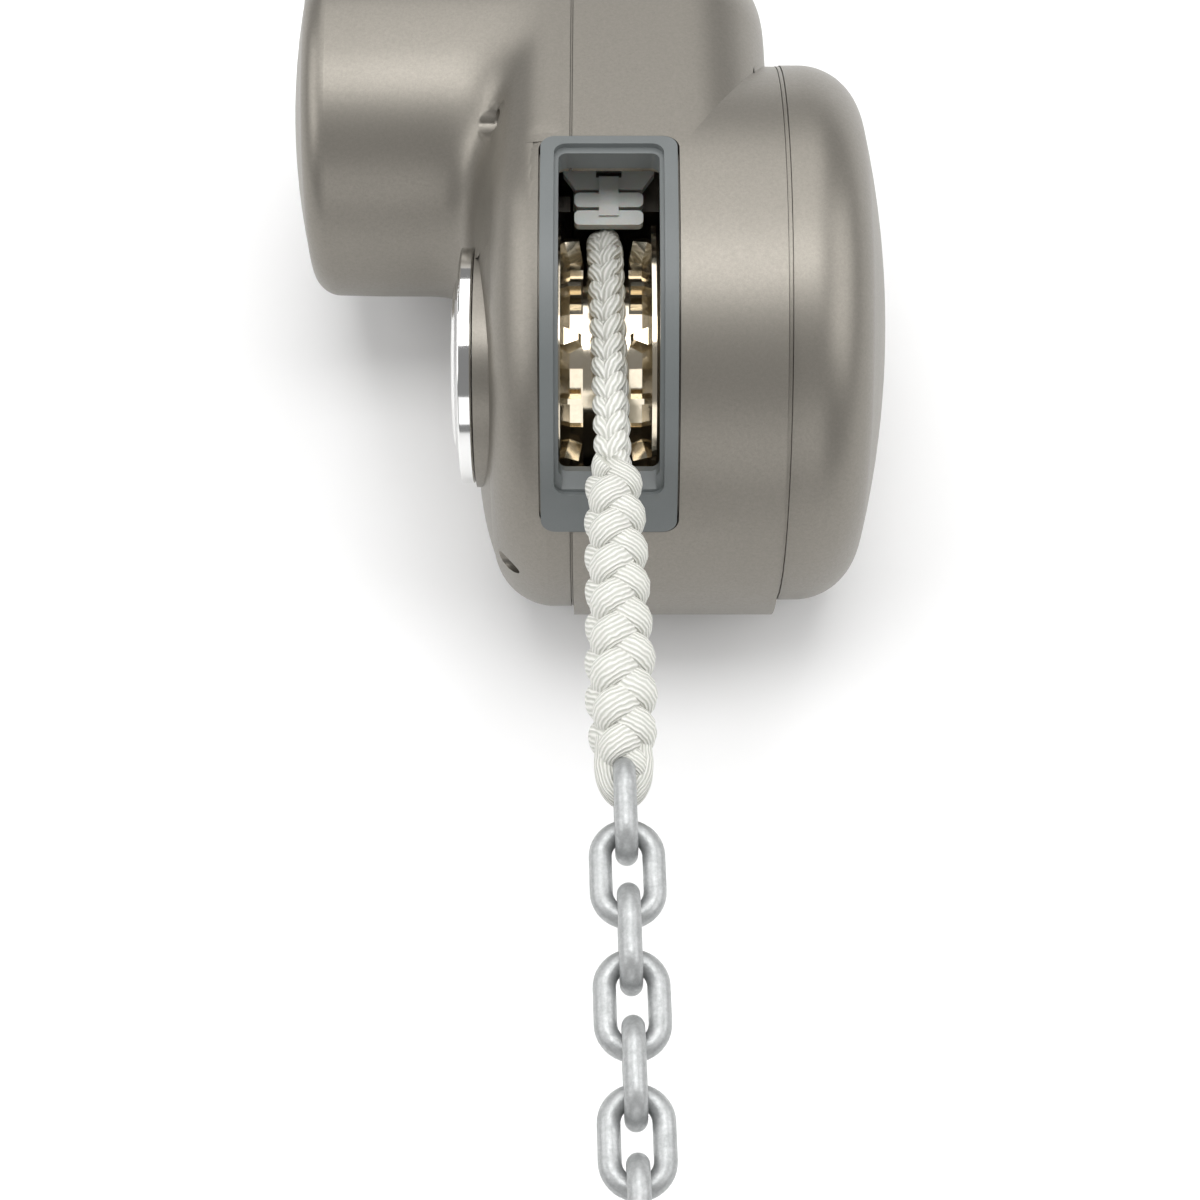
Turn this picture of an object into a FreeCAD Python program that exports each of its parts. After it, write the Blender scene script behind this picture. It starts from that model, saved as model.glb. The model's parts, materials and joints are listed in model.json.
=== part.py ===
import FreeCAD, Part
import math
import os

# Horizontal anchor windlass in millimetres. +Z is up, the bow is towards -Y, and X runs along the shafts.
# The origin is the middle of the deck bolt pattern on the underside, below the centre of the drum.
# The rode plane is X = 0. World angles in the YZ plane start at the bow and rise through the top.

Vector = FreeCAD.Vector

# Anchor rode
rope_d = 13.5
rope_rise_deg = 4.5
rope_drift_deg = 1.7
splice_start = 61.0
splice_length = 118.0
splice_d = 20.5
chain_wire = 7.1
chain_pitch = 20.8
chain_width = 23.6
chain_first = 180.5
chain_links_count = 8

# Deck interface
stud_spacing_x = 68.0
stud_spacing_y = 100.0
stud_hole_r = 3.4
gasket_thick = 2.0
foot_thick = 12.0
foot_front = 62.0
foot_back = 74.0
foot_left = 42.0
deck_pipe_r = 15.0

# Drum of the housing, and the two side shells that sit slightly off its centre
drum_z = 72.0
drum_r = 98.5
seam_left = -12.3
seam_right = 60.0
seal_thick = 1.0
cover_gap = 1.8
groove_width = 0.3
groove_depth = 2.0
seal_inset = 0.3
wall = 5.0
left_r = 96.9
left_shift = 1.55
cover_r = 96.0
cover_shift = 2.9
shift_deg = 155.0
left_face = -44.9
cover_apex = 99.8

# Motor barrel behind the drum
motor_y = 82.3
motor_z = 84.0
barrel_r = 62.0
barrel_end = -113.0
fairing_end = 57.0
fairing_round = 30.0
root_r = 3.0

# Gypsy, on the main shaft axis
gypsy_y = -23.0
gypsy_z = 102.0
rope_path_r = 40.0
gypsy_rim_r = 50.0
gypsy_width = 36.0
groove_half = 7.8
pocket_half = 12.2
pocket_count = 6
gypsy_phase_deg = 77.7
tooth_top_r = 45.0
pocket_bed_r = 34.6
ledge_r = 38.0
chamber_clear = 3.5
chamber_left = -24.5
chamber_right = 26.0

# Window frame: angles of its outer edge, its rim and its throat
window_x = 1.0
frame_half = 22.9
frame_low_deg = 24.7
frame_high_deg = 108.8
rim_half = 18.4
rim_low_deg = 33.9
rim_high_deg = 106.7
throat_half = 16.9
throat_low_deg = 37.3
throat_high_deg = 105.1
frame_proud = 0.6
frame_seat_depth = 4.5
frame_seat_r = drum_r - frame_seat_depth
throat_depth = 45.0
frame_gap = 0.7
frame_corner_r = 5.0
rim_corner_r = 4.2
throat_corner_r = 2.8
lip_depth = 1.3
seat_gap = 0.1
collar_wall = 2.7
collar_deg = 2.3

# Pressure finger
finger_pivot_y = 38.5
finger_pivot_z = 139.0
finger_thick = 5.0
finger_pin_r = 2.5
tab_half = 15.6

# Shafts, gears and bearings
shaft_r = 12.5
shaft_end_r = 10.0
shoulder_r = 14.0
thread_r = 10.0
gear_module = 1.5
main_teeth = 68
main_tip_r = gear_module * (main_teeth + 2) / 2
gear_clear = 1.5
dish_in = 20.0
dish_out = 44.0
pinion_teeth = 13
fast_module = 1.25
fast_teeth = 63
motor_teeth = 14
main_gear_left = 45.0
main_gear_width = 13.0
fast_gear_left = 62.0
fast_gear_width = 7.0
layshaft_right = 84.0
bush_over = 0.5
layshaft_r = 7.5
motor_shaft_r = 6.0
running = 0.05
free = 0.3
web_right = 32.0
bearing_left_x = 28.0
bearing_width = 14.0
bearing_left_r = 26.0
bearing_right_x = 74.0
bearing_right_width = 12.0
bearing_right_r = 21.0

# Clutch
cone_big_r = 26.7
cone_small_r = 21.7
cap_r = 41.0
cap_back = -45.4
cap_rim = 4.8
cap_dome = 2.6
cap_hub_r = 17.0
lever_socket_r = 8.0
lever_socket_depth = 14.0

# Motor
can_r = 42.0
can_left = -98.0
bell_thick = 4.0
can_wall = 3.0
bell_screw_y = 24.0
magnet_left = 26.0
magnet_right = 12.0
magnet_thick = 5.0
magnet_half = 34.0

# Casing screws
screw_circle_r = 88.0
screw_angles = (124.6, 4.6, -38.0)
cover_screw_angles = (18.0, 115.0, 208.0, -27.0)
cover_boss_r = 7.0
screw_r = 2.5
head_r = 3.8
head_high = 4.6
socket_r = 1.9
recess_r = 4.0
boss_r = 8.0
cover_head_seat = chamber_right - 2

DRUM = (0.0, drum_z)
GYPSY = (gypsy_y, gypsy_z)
MOTOR = (motor_y, motor_z)
TURN = 360


def on_drum(r, degrees):
    """The y and z of a point at a radius and world angle about the drum centre."""
    a = math.radians(degrees)
    return -r * math.cos(a), drum_z + r * math.sin(a)


def shifted(distance):
    """The centre of a side shell, off the drum centre towards the rear and up."""
    y, z = on_drum(distance, shift_deg)
    return y, z


LEFT = shifted(left_shift)
COVER = shifted(cover_shift)


def box(x0, x1, y0, y1, z0, z1):
    return Part.makeBox(x1 - x0, y1 - y0, z1 - z0, Vector(x0, y0, z0))


def disc(x0, x1, centre, r):
    """A cylinder along X."""
    return Part.makeCylinder(r, x1 - x0, Vector(x0, centre[0], centre[1]), Vector(1, 0, 0))


def ring(x0, x1, centre, r_in, r_out):
    return disc(x0, x1, centre, r_out).cut(disc(x0, x1, centre, r_in))


def turned(profile, centre):
    """A solid turned about an axis along X. A profile entry is (x, r), or a middle and an end point of an arc."""
    edges = []
    here = Vector(*profile[0], 0)
    for entry in profile[1:] + profile[:1]:
        if isinstance(entry[0], tuple):
            middle = Vector(*entry[0], 0)
            there = Vector(*entry[1], 0)
            edges.append(Part.Arc(here, middle, there).toShape())
        else:
            there = Vector(*entry, 0)
            edges.append(Part.LineSegment(here, there).toShape())
        here = there
    solid = Part.Face(Part.Wire(edges)).revolve(Vector(0, 0, 0), Vector(1, 0, 0), TURN)
    if solid.Volume < 0:
        solid.reverse()
    solid.translate(Vector(0, centre[0], centre[1]))
    return solid


def crown(apex, rim_x, rim_r):
    """The middle and end of a profile arc that closes on the axis as part of a sphere."""
    rise = abs(apex - rim_x)
    ball = (rim_r * rim_r + rise * rise) / (2 * rise)
    half = math.asin(rim_r / ball) / 2
    side = 1 if apex > rim_x else -1
    return (apex - side * ball * (1 - math.cos(half)), ball * math.sin(half)), (apex, 0)


def sector(r0, r1, low, high, x0, x1):
    """A block between two radii and two world angles about the drum axis."""
    middle = (low + high) / 2
    inner = [Vector(x0, *on_drum(r0, a)) for a in (low, middle, high)]
    outer = [Vector(x0, *on_drum(r1, a)) for a in (low, middle, high)]
    edges = [
        Part.Arc(*outer).toShape(),
        Part.LineSegment(outer[2], inner[2]).toShape(),
        Part.Arc(*inner[::-1]).toShape(),
        Part.LineSegment(inner[0], outer[0]).toShape(),
    ]
    return Part.Face(Part.Wire(edges)).extrude(Vector(x1 - x0, 0, 0))


def rounded_sector(r0, r1, low, high, x0, x1, corner_r):
    """A sector of a ring with its four upright corners rounded."""
    piece = sector(r0, r1, low, high, x0, x1)
    corners = []
    for edge in piece.Edges:
        straight = abs(edge.Length - (r1 - r0)) < 0.01
        if straight and edge.BoundBox.XLength < 0.01:
            corners.append(edge)
    return piece.makeFillet(corner_r, corners)


def prism(points, x0, x1):
    """A block along X from corner points in the YZ plane."""
    corners = [Vector(x0, y, z) for y, z in points]
    return Part.Face(Part.makePolygon(corners + corners[:1])).extrude(Vector(x1 - x0, 0, 0))


def tangent_quad(front, front_r, rear, rear_r):
    """The corners of the two straight flanks that join a front circle to a rear one."""
    dy = rear[0] - front[0]
    dz = rear[1] - front[1]
    along = math.atan2(dz, dy)
    lean = math.acos((front_r - rear_r) / math.hypot(dy, dz))
    corners = []
    for angle, centre, r in (
        (along + lean, front, front_r),
        (along + lean, rear, rear_r),
        (along - lean, rear, rear_r),
        (along - lean, front, front_r),
    ):
        corners.append((centre[0] + r * math.cos(angle), centre[1] + r * math.sin(angle)))
    return corners


def flank_block(front, front_r, rear_r, x0, x1, round_r, round_x):
    """The straight-sided block between the drum and the motor barrel, its flanks rounded at one end."""
    corners = tangent_quad(front, front_r, MOTOR, rear_r)
    block = prism(corners, x0, x1)
    if round_r <= 0:
        return block
    flank = math.hypot(corners[1][0] - corners[0][0], corners[1][1] - corners[0][1])
    edges = []
    for edge in block.Edges:
        at_end = abs(edge.CenterOfMass.x - round_x) < 0.01
        if at_end and abs(edge.Length - flank) < 0.01:
            edges.append(edge)
    return block.makeFillet(round_r, edges)


def above(shape, z):
    """The part of a shape above a level."""
    b = shape.BoundBox
    return shape.common(box(b.XMin - 1, b.XMax + 1, b.YMin - 1, b.YMax + 1, z, b.ZMax + 1))


def fused(shapes):
    return shapes[0].fuse(shapes[1:]).removeSplitter()


def chamber_r():
    return gypsy_rim_r + chamber_clear


def window_cut():
    """The pocket for the frame's flange, and the way through the casing below it."""
    gap_deg = math.degrees(frame_gap / drum_r)
    pocket = rounded_sector(
        frame_seat_r,
        drum_r + 8,
        frame_low_deg - gap_deg,
        frame_high_deg + gap_deg,
        window_x - frame_half - frame_gap,
        window_x + frame_half + frame_gap,
        frame_corner_r + frame_gap,
    )
    through = rounded_sector(
        drum_r - throat_depth,
        frame_seat_r + 1,
        throat_low_deg - collar_deg - 0.3,
        throat_high_deg + collar_deg + 0.3,
        window_x - throat_half - collar_wall - free,
        window_x + throat_half + collar_wall + free,
        throat_corner_r + collar_wall + free,
    )
    return pocket.fuse(through)


def finger_pocket():
    """The recess in the chamber roof that takes the pressure finger and its pin."""
    roof = finger_pivot_z + 12
    points = [
        (gypsy_y + 22, gypsy_z + 30),
        (finger_pivot_y + 9, finger_pivot_z - 9),
        (finger_pivot_y + 9, roof),
        (gypsy_y + 22, roof + 4),
    ]
    return prism(points, window_x - 17.5, window_x + 17.5)


def deck_pipe_way():
    """The upright way for the rode, from the chamber down through the foot."""
    y = gypsy_y + rope_path_r
    return Part.makeCylinder(deck_pipe_r, gypsy_z, Vector(0, y, -1), Vector(0, 0, 1))


def stud_holes(z0, z1):
    holes = []
    for x in (-stud_spacing_x / 2, stud_spacing_x / 2):
        for y in (-stud_spacing_y / 2, stud_spacing_y / 2):
            holes.append(Part.makeCylinder(stud_hole_r, z1 - z0, Vector(x, y, z0), Vector(0, 0, 1)))
    return holes


def foot_plate(z0, z1, inset):
    plate = box(-foot_left + inset, seam_right - inset, -foot_front + inset, foot_back - inset, z0, z1)
    corners = []
    for edge in plate.Edges:
        b = edge.BoundBox
        if b.ZLength > (z1 - z0) * 0.9:
            corners.append(edge)
    return plate.makeFillet(10.0, corners)


def deck_gasket():
    gasket = foot_plate(0, gasket_thick, 0)
    return gasket.cut(stud_holes(-1, gasket_thick + 1) + [deck_pipe_way()])


def hull(front, front_r, rear, rear_r, x0, x1, round_r):
    """A block round two circles, its edge at x1 rounded."""
    corners = tangent_quad(front, front_r, rear, rear_r)
    a, b, c, d = [Vector(x0, y, z) for y, z in corners]
    away = (Vector(x0, *rear) - Vector(x0, *front)).normalize()
    past_rear = Vector(x0, *rear) + away * rear_r
    past_front = Vector(x0, *front) - away * front_r
    edges = [
        Part.makeLine(a, b),
        Part.Arc(b, past_rear, c).toShape(),
        Part.makeLine(c, d),
        Part.Arc(d, past_front, a).toShape(),
    ]
    block = Part.Face(Part.Wire(edges)).extrude(Vector(x1 - x0, 0, 0))
    rims = [e for e in block.Edges if e.BoundBox.XMin > max(x0, x1) - 0.01]
    return block.makeFillet(round_r, rims)


def centre_outside():
    left = seam_left + seal_thick
    drum = disc(left, seam_right, DRUM, drum_r)
    return fused([drum, hull(DRUM, drum_r, MOTOR, barrel_r, left, fairing_end, fairing_round)])


def gear_room():
    """The space for the gears between the web and the cover."""
    inner = drum_r - wall
    rounded_off = fairing_round - math.sqrt(fairing_round**2 - (fairing_round - wall) ** 2)
    rear_r = barrel_r - rounded_off - wall
    room = [disc(web_right, seam_right + 1, DRUM, inner)]
    room.append(flank_block(DRUM, inner, rear_r, web_right, fairing_end - wall, 0, 0))
    room.append(disc(web_right, fairing_end - wall, MOTOR, rear_r))
    sweep = disc(web_right - 2, seam_right + 3, GYPSY, main_tip_r + gear_clear)
    bosses = []
    for degrees in cover_screw_angles:
        boss = disc(web_right - 1, seam_right + 2, on_drum(screw_circle_r, degrees), cover_boss_r)
        bosses.append(boss.cut(sweep))
    return above(fused(room), gasket_thick + foot_thick).cut(bosses)


def side_room():
    """The hollow around the chamber on the open left side of the centre housing."""
    left = seam_left - 1
    inner = drum_r - wall
    room = [disc(left, chamber_right, DRUM, inner)]
    room.append(flank_block(DRUM, inner, barrel_r - wall, left, chamber_right, 0, 0))
    room.append(disc(left, chamber_right, MOTOR, barrel_r - wall))
    keep = [
        disc(left - 1, chamber_right + 1, GYPSY, chamber_r() + wall),
        disc(left - 1, chamber_right + 1, MOTOR, can_r + 1 + wall),
        box(left - 1, chamber_right + 1, -8, 42, 0, gypsy_z),
        sector(drum_r - 40, drum_r, frame_low_deg - 4, frame_high_deg + 4, left - 1, chamber_right + 1),
        prism([(10, 110), (56, 110), (56, 158), (10, 180)], left - 1, chamber_right + 1),
    ]
    for degrees in screw_angles:
        keep.append(disc(left - 1, chamber_right + 1, on_drum(screw_circle_r, degrees), boss_r))
    for degrees in cover_screw_angles:
        keep.append(disc(left - 1, chamber_right + 1, on_drum(screw_circle_r, degrees), boss_r))
    return above(fused(room), gasket_thick + foot_thick).cut(keep)


def layshaft_axis():
    """The layshaft axis, from the two centre distances."""
    slow = gear_module * (main_teeth + pinion_teeth) / 2
    fast = fast_module * (fast_teeth + motor_teeth) / 2
    dy = motor_y - gypsy_y
    dz = motor_z - gypsy_z
    span = math.hypot(dy, dz)
    lift = math.acos((slow * slow + span * span - fast * fast) / (2 * slow * span))
    angle = math.atan2(dz, dy) + lift
    return gypsy_y + slow * math.cos(angle), gypsy_z + slow * math.sin(angle)


LAYSHAFT = layshaft_axis()


def centre_housing():
    body = centre_outside().fuse(foot_plate(gasket_thick, gasket_thick + foot_thick, 0))
    body = above(body, gasket_thick)
    body = body.cut([gear_room(), side_room()])
    bosses = [
        ring(chamber_right - 5, bearing_left_x + bearing_width + 1, GYPSY, 10, bearing_left_r + 6),
        ring(web_right - 1, web_right + 7, LAYSHAFT, 5, 15),
    ]
    body = body.fuse(bosses)
    cuts = [
        disc(seam_left - 1, chamber_right, GYPSY, chamber_r()).cut(
            disc(chamber_right - 5, chamber_right, GYPSY, bearing_left_r - 1)
        ),
        disc(bearing_left_x, bearing_left_x + bearing_width + 2, GYPSY, bearing_left_r),
        disc(chamber_right - 4, bearing_left_x + 1, GYPSY, shoulder_r + 6),
        disc(chamber_right - 6, chamber_right, GYPSY, shoulder_r + free),
        disc(bearing_left_x + 0.5, web_right + 8, LAYSHAFT, layshaft_r + 3),
        disc(chamber_right - 1, bearing_left_x + 1, LAYSHAFT, layshaft_r - 1.5),
        disc(seam_left - 1, chamber_right, MOTOR, can_r + 1),
        disc(chamber_right - 1, web_right + 1, MOTOR, 16),
        disc(chamber_right - 1, web_right + 1, (motor_y - bell_screw_y, motor_z), 2.0),
        disc(chamber_right - 1, web_right + 1, (motor_y + bell_screw_y, motor_z), 2.0),
        window_cut(),
        finger_pocket(),
        deck_pipe_way(),
    ]
    for degrees in screw_angles:
        cuts.append(disc(seam_left, 7, on_drum(screw_circle_r, degrees), screw_r))
    for degrees in cover_screw_angles:
        spot = on_drum(screw_circle_r, degrees)
        cuts.append(disc(cover_head_seat - 1, seam_right + 1, spot, screw_r))
        cuts.append(disc(seam_left, cover_head_seat, spot, recess_r))
    cuts.extend(stud_holes(gasket_thick - 1, gasket_thick + foot_thick + 6))
    pin = on_finger_pin()
    cuts.append(disc(window_x - 22, window_x + 22, pin, finger_pin_r))
    return body.cut(cuts).removeSplitter()


def on_finger_pin():
    return finger_pivot_y, finger_pivot_z


def left_dome(inset):
    """The crowned side of the left shell, at the drum."""
    r = left_r - inset
    face = left_face + inset
    return turned(
        [
            (seam_left, 0),
            (seam_left, r),
            (face + 24.9, r),
            ((face + 11.4, r - 6.3), (face + 5.3, r - 17.9)),
            ((face + 1.7, r - 30.9), (face, r - 46.9)),
            (face, 0),
        ],
        LEFT,
    )


def left_barrel(inset):
    """The motor barrel with its crowned end."""
    r = barrel_r - inset
    end = barrel_end + inset
    return turned(
        [
            (seam_left, 0),
            (seam_left, r),
            (end + 15, r),
            ((end + 8.4, r - 3.0), (end + 6, r - 9)),
            crown(end, end + 6, r - 9),
        ],
        MOTOR,
    )


def left_outside():
    flanks = flank_block(LEFT, left_r, barrel_r, left_face + 6.6, seam_left, 18.0, left_face + 6.6)
    shell = fused([left_dome(0), left_barrel(0), flanks])
    roots = []
    for edge in shell.Edges:
        b = edge.BoundBox
        on_face = abs(b.XMin - left_face) < 0.01 and b.XLength < 0.01
        if on_face and abs(edge.Curve.Radius - barrel_r) < 0.01:
            roots.append(edge)
    return shell.makeFillet(root_r, roots)


def left_inside():
    flanks = flank_block(LEFT, left_r - wall, barrel_r - wall, left_face + 6.6 + wall, seam_left, 0, 0)
    room = fused([left_dome(wall), left_barrel(wall), flanks])
    b = room.BoundBox
    return above(room, gasket_thick + foot_thick + free + wall).common(
        box(b.XMin, seam_left, b.YMin, b.YMax, b.ZMin, b.ZMax)
    )


def left_casing():
    outside = fused([left_outside(), disc(left_face, left_face + 12, GYPSY, cap_r + 1.5)])
    outside = above(outside, gasket_thick + foot_thick + free)
    body = outside.cut(left_inside())
    ribs = [
        ring(chamber_left - 4, seam_left, GYPSY, chamber_r(), chamber_r() + wall),
        ring(chamber_left - 4, chamber_left, GYPSY, 30, chamber_r() + wall),
        ring(left_face, chamber_left - 3, GYPSY, 30, 35),
        ring(left_face, left_face + wall, GYPSY, 24, 36),
    ]
    for degrees in screw_angles:
        ribs.append(disc(left_face + 8, seam_left, on_drum(screw_circle_r, degrees), boss_r))
    frame_bed = sector(
        drum_r - 14, drum_r - 1, frame_low_deg - 3, frame_high_deg + 3, window_x - frame_half - 5, seam_left
    )
    ribs.append(frame_bed)
    body = body.fuse([rib.common(outside) for rib in ribs])
    cuts = [
        disc(chamber_left, seam_left + 1, GYPSY, chamber_r()),
        disc(left_face + wall, chamber_left + 1, GYPSY, 30),
        disc(left_face - 1, left_face + wall + 1, GYPSY, 24),
        window_cut(),
        finger_pocket(),
        deck_pipe_way(),
    ]
    for degrees in screw_angles:
        spot = on_drum(screw_circle_r, degrees)
        cuts.append(disc(left_face - 5, left_face + 27.5, spot, recess_r))
        cuts.append(disc(left_face, seam_left + 1, spot, screw_r))
    cuts.append(disc(window_x - 22, window_x + 22, on_finger_pin(), finger_pin_r))
    cuts.append(Part.makeCylinder(9.0, 12, Vector(-85, motor_y, motor_z - barrel_r - 2), Vector(0, 0, 1)))
    return body.cut(cuts).removeSplitter()


def seam_outline(inset, x0, x1):
    r = left_r - inset
    return fused(
        [
            disc(x0, x1, LEFT, r),
            disc(x0, x1, MOTOR, barrel_r - inset),
            flank_block(LEFT, r, barrel_r - inset, x0, x1, 0, 0),
        ]
    )


def seam_seal():
    """The flat seal in the left seam, narrowed near the surface so that a fine groove shows on each side."""
    x1 = seam_left + seal_thick
    band = seam_outline(groove_depth, seam_left, x1).fuse(
        seam_outline(seal_inset, seam_left + groove_width, x1 - groove_width)
    )
    band = band.cut(seam_outline(wall - 0.2, seam_left - 1, x1 + 1))
    band = above(band, gasket_thick + foot_thick + free)
    behind_frame = sector(drum_r - 20, drum_r + 5, frame_low_deg - 1, frame_high_deg + 1, x1 - 3, x1 + 1)
    return band.cut([window_cut(), behind_frame])


def cover_dome(inset):
    """The gear cover: a short rim, a rounded corner and a shallow dome."""
    r = cover_r - inset
    apex = cover_apex - inset
    left = seam_right + cover_gap
    return turned(
        [
            (left, 0),
            (left, r),
            (apex - 31.8, r),
            ((apex - 15.5, r - 6.8), (apex - 9.8, r - 17)),
            crown(apex, apex - 9.8, r - 17),
        ],
        COVER,
    )


def gear_cover():
    left = seam_right + cover_gap
    outside = above(cover_dome(0), gasket_thick)
    body = outside.cut(above(cover_dome(wall), gasket_thick + wall))
    bosses = [
        disc(bearing_right_x - 0.5, cover_apex, GYPSY, bearing_right_r + 5),
        disc(fast_gear_left + fast_gear_width + 4, cover_apex, LAYSHAFT, 15),
    ]
    for degrees in cover_screw_angles:
        bosses.append(disc(left, left + 18, on_drum(screw_circle_r, degrees), cover_boss_r))
    body = body.fuse([boss.common(outside) for boss in bosses])
    cuts = [
        disc(bearing_right_x - 1, bearing_right_x + bearing_right_width, GYPSY, bearing_right_r),
        disc(bearing_right_x, bearing_right_x + bearing_right_width + 3, GYPSY, bearing_right_r - 4),
        disc(fast_gear_left + fast_gear_width + 3, layshaft_right + bush_over, LAYSHAFT, layshaft_r + 3),
    ]
    for degrees in cover_screw_angles:
        cuts.append(disc(left - 1, left + 12, on_drum(screw_circle_r, degrees), screw_r))
    return body.cut(cuts).removeSplitter()


def cover_gasket():
    """The ring between the drum and the gear cover, with a fine groove on each side."""
    x0 = seam_right
    x1 = seam_right + cover_gap
    inner = cover_r - wall + 0.5
    band = ring(x0, x1, COVER, inner, cover_r - groove_depth).fuse(
        ring(x0 + groove_width, x1 - groove_width, COVER, inner, cover_r - seal_inset)
    )
    band = above(band, gasket_thick)
    right = seam_right + cover_gap + 1
    return band.cut([disc(x0 - 1, right, on_drum(screw_circle_r, a), screw_r) for a in cover_screw_angles])


def window_frame():
    """The moulded frame: a flange that follows the drum, a lipped opening with a ramp for the rode, and a collar."""
    proud = drum_r + frame_proud
    flange = rounded_sector(
        frame_seat_r + seat_gap,
        proud,
        frame_low_deg,
        frame_high_deg,
        window_x - frame_half,
        window_x + frame_half,
        frame_corner_r,
    )
    collar = rounded_sector(
        frame_seat_r - 4,
        frame_seat_r + 0.2,
        throat_low_deg - collar_deg,
        throat_high_deg + collar_deg,
        window_x - throat_half - collar_wall,
        window_x + throat_half + collar_wall,
        throat_corner_r + collar_wall,
    )
    throat = rounded_sector(
        drum_r - 20,
        drum_r + 5,
        throat_low_deg,
        throat_high_deg,
        window_x - throat_half,
        window_x + throat_half,
        throat_corner_r,
    )
    rim = rounded_sector(
        drum_r - lip_depth,
        drum_r + 5,
        rim_low_deg,
        rim_high_deg,
        window_x - rim_half,
        window_x + rim_half,
        rim_corner_r,
    )
    ramp = [
        on_drum(drum_r - lip_depth + 0.02, rim_low_deg + 0.6),
        on_drum(frame_seat_r - 1.5, throat_low_deg + 0.5),
        on_drum(drum_r + 2, throat_low_deg + 0.5),
    ]
    ramp = prism(ramp, window_x - throat_half + 1, window_x + throat_half - 1)
    return fused([flange, collar]).cut([throat, rim, ramp]).removeSplitter()


def gypsy():
    """The chain and rope wheel: a grooved body with pockets, paired teeth and ribbed cheeks."""
    half = gypsy_width / 2
    floor_r = rope_path_r - rope_d / 2 - 0.4
    pocket_r = ledge_r
    cone_gap = free
    body = turned(
        [
            (-half, cone_big_r + cone_gap),
            (-half, gypsy_rim_r - 1),
            (-half + 1, gypsy_rim_r),
            (-half + 2.6, gypsy_rim_r),
            (-pocket_half, pocket_r),
            (-groove_half, pocket_r),
            (-groove_half, floor_r),
            (groove_half, floor_r),
            (groove_half, pocket_r),
            (pocket_half, pocket_r),
            (half - 2.6, gypsy_rim_r),
            (half - 1, gypsy_rim_r),
            (half, gypsy_rim_r - 1),
            (half, cone_big_r + cone_gap),
            (half - 10, cone_small_r + cone_gap),
            (half - 10, shoulder_r + 1.5),
            (-half + 10, shoulder_r + 1.5),
            (-half + 10, cone_small_r + cone_gap),
        ],
        GYPSY,
    )
    extras = []
    floors = []
    for k in range(pocket_count):
        turn = gypsy_phase_deg + k * 360.0 / pocket_count
        floors.append(pocket_floor(turn + 180.0 / pocket_count))
        extras.extend(gypsy_tooth(turn, pocket_r))
        extras.extend(cheek_rib(turn + 180.0 / pocket_count, pocket_r))
    return body.cut(floors).fuse(extras).removeSplitter()


def pocket_floor(turn):
    """The cut for the flat bed of one lying link, with sloped ends."""
    deep = gypsy_y - pocket_bed_r
    points = [
        (deep, gypsy_z - 9.5),
        (deep, gypsy_z + 9.5),
        (deep - 12, gypsy_z + 14.5),
        (deep - 12, gypsy_z - 14.5),
    ]
    return spin(prism(points, -pocket_half, pocket_half), GYPSY, turn)


def spin(shape, centre, degrees):
    """Turns a shape made at the bow side of a shaft to a world angle."""
    shape.rotate(Vector(0, centre[0], centre[1]), Vector(1, 0, 0), -degrees)
    return shape


def gypsy_tooth(turn, pocket_r):
    """A pair of teeth, each a wedge that narrows towards the rope."""
    pair = []
    for side in (-1, 1):
        tip_x = side * (groove_half + 0.1)
        root_x = side * (gypsy_width / 2 - 3.2)
        low = gypsy_y - pocket_r + 1.0
        high = gypsy_y - tooth_top_r
        base = Part.makePolygon(
            [
                Vector(tip_x, low, gypsy_z - 2.2),
                Vector(root_x, low, gypsy_z - 6.0),
                Vector(root_x, low, gypsy_z + 6.0),
                Vector(tip_x, low, gypsy_z + 2.2),
                Vector(tip_x, low, gypsy_z - 2.2),
            ]
        )
        top = Part.makePolygon(
            [
                Vector(tip_x + side * 1.4, high, gypsy_z - 1.2),
                Vector(root_x, high, gypsy_z - 3.2),
                Vector(root_x, high, gypsy_z + 3.2),
                Vector(tip_x + side * 1.4, high, gypsy_z + 1.2),
                Vector(tip_x + side * 1.4, high, gypsy_z - 1.2),
            ]
        )
        wedge = Part.makeLoft([base, top], True, True)
        pair.append(spin(wedge, GYPSY, turn))
    return pair


def cheek_rib(turn, pocket_r):
    """A low rib on each cheek, in the middle of a pocket."""
    pair = []
    for side in (-1, 1):
        x0 = side * (groove_half + 0.6)
        x1 = side * (gypsy_width / 2 - 3.4)
        bar = prism(
            [
                (gypsy_y - pocket_r + 1.0, gypsy_z - 1.6),
                (gypsy_y - pocket_r - 2.6, gypsy_z - 1.0),
                (gypsy_y - pocket_r - 2.6, gypsy_z + 1.0),
                (gypsy_y - pocket_r + 1.0, gypsy_z + 1.6),
            ],
            min(x0, x1),
            max(x0, x1),
        )
        pair.append(spin(bar, GYPSY, turn))
    return pair


def main_shaft():
    half = gypsy_width / 2
    left_end = cap_back + 8.0
    shaft = turned(
        [
            (left_end, 0),
            (left_end, thread_r - 1),
            (left_end + 1, thread_r),
            (-half - 5, thread_r),
            (-half - 5, shaft_r),
            (half + 2, shaft_r),
            (half + 2, shoulder_r),
            (bearing_left_x, shoulder_r),
            (bearing_left_x, shaft_r),
            (bearing_right_x, shaft_r),
            (bearing_right_x, shaft_end_r),
            (bearing_right_x + bearing_right_width + 1, shaft_end_r),
            (bearing_right_x + bearing_right_width + 2, shaft_end_r - 1),
            (bearing_right_x + bearing_right_width + 2, 0),
        ],
        GYPSY,
    )
    return shaft.cut([clutch_key(), gear_key()]).removeSplitter()


def clutch_key():
    """A long key that drives both clutch cones."""
    half = gypsy_width / 2
    return box(-half - 5, half + 1, gypsy_y - 3, gypsy_y + 3, gypsy_z + shaft_r - 3.5, gypsy_z + shaft_r + 1.4)


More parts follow.
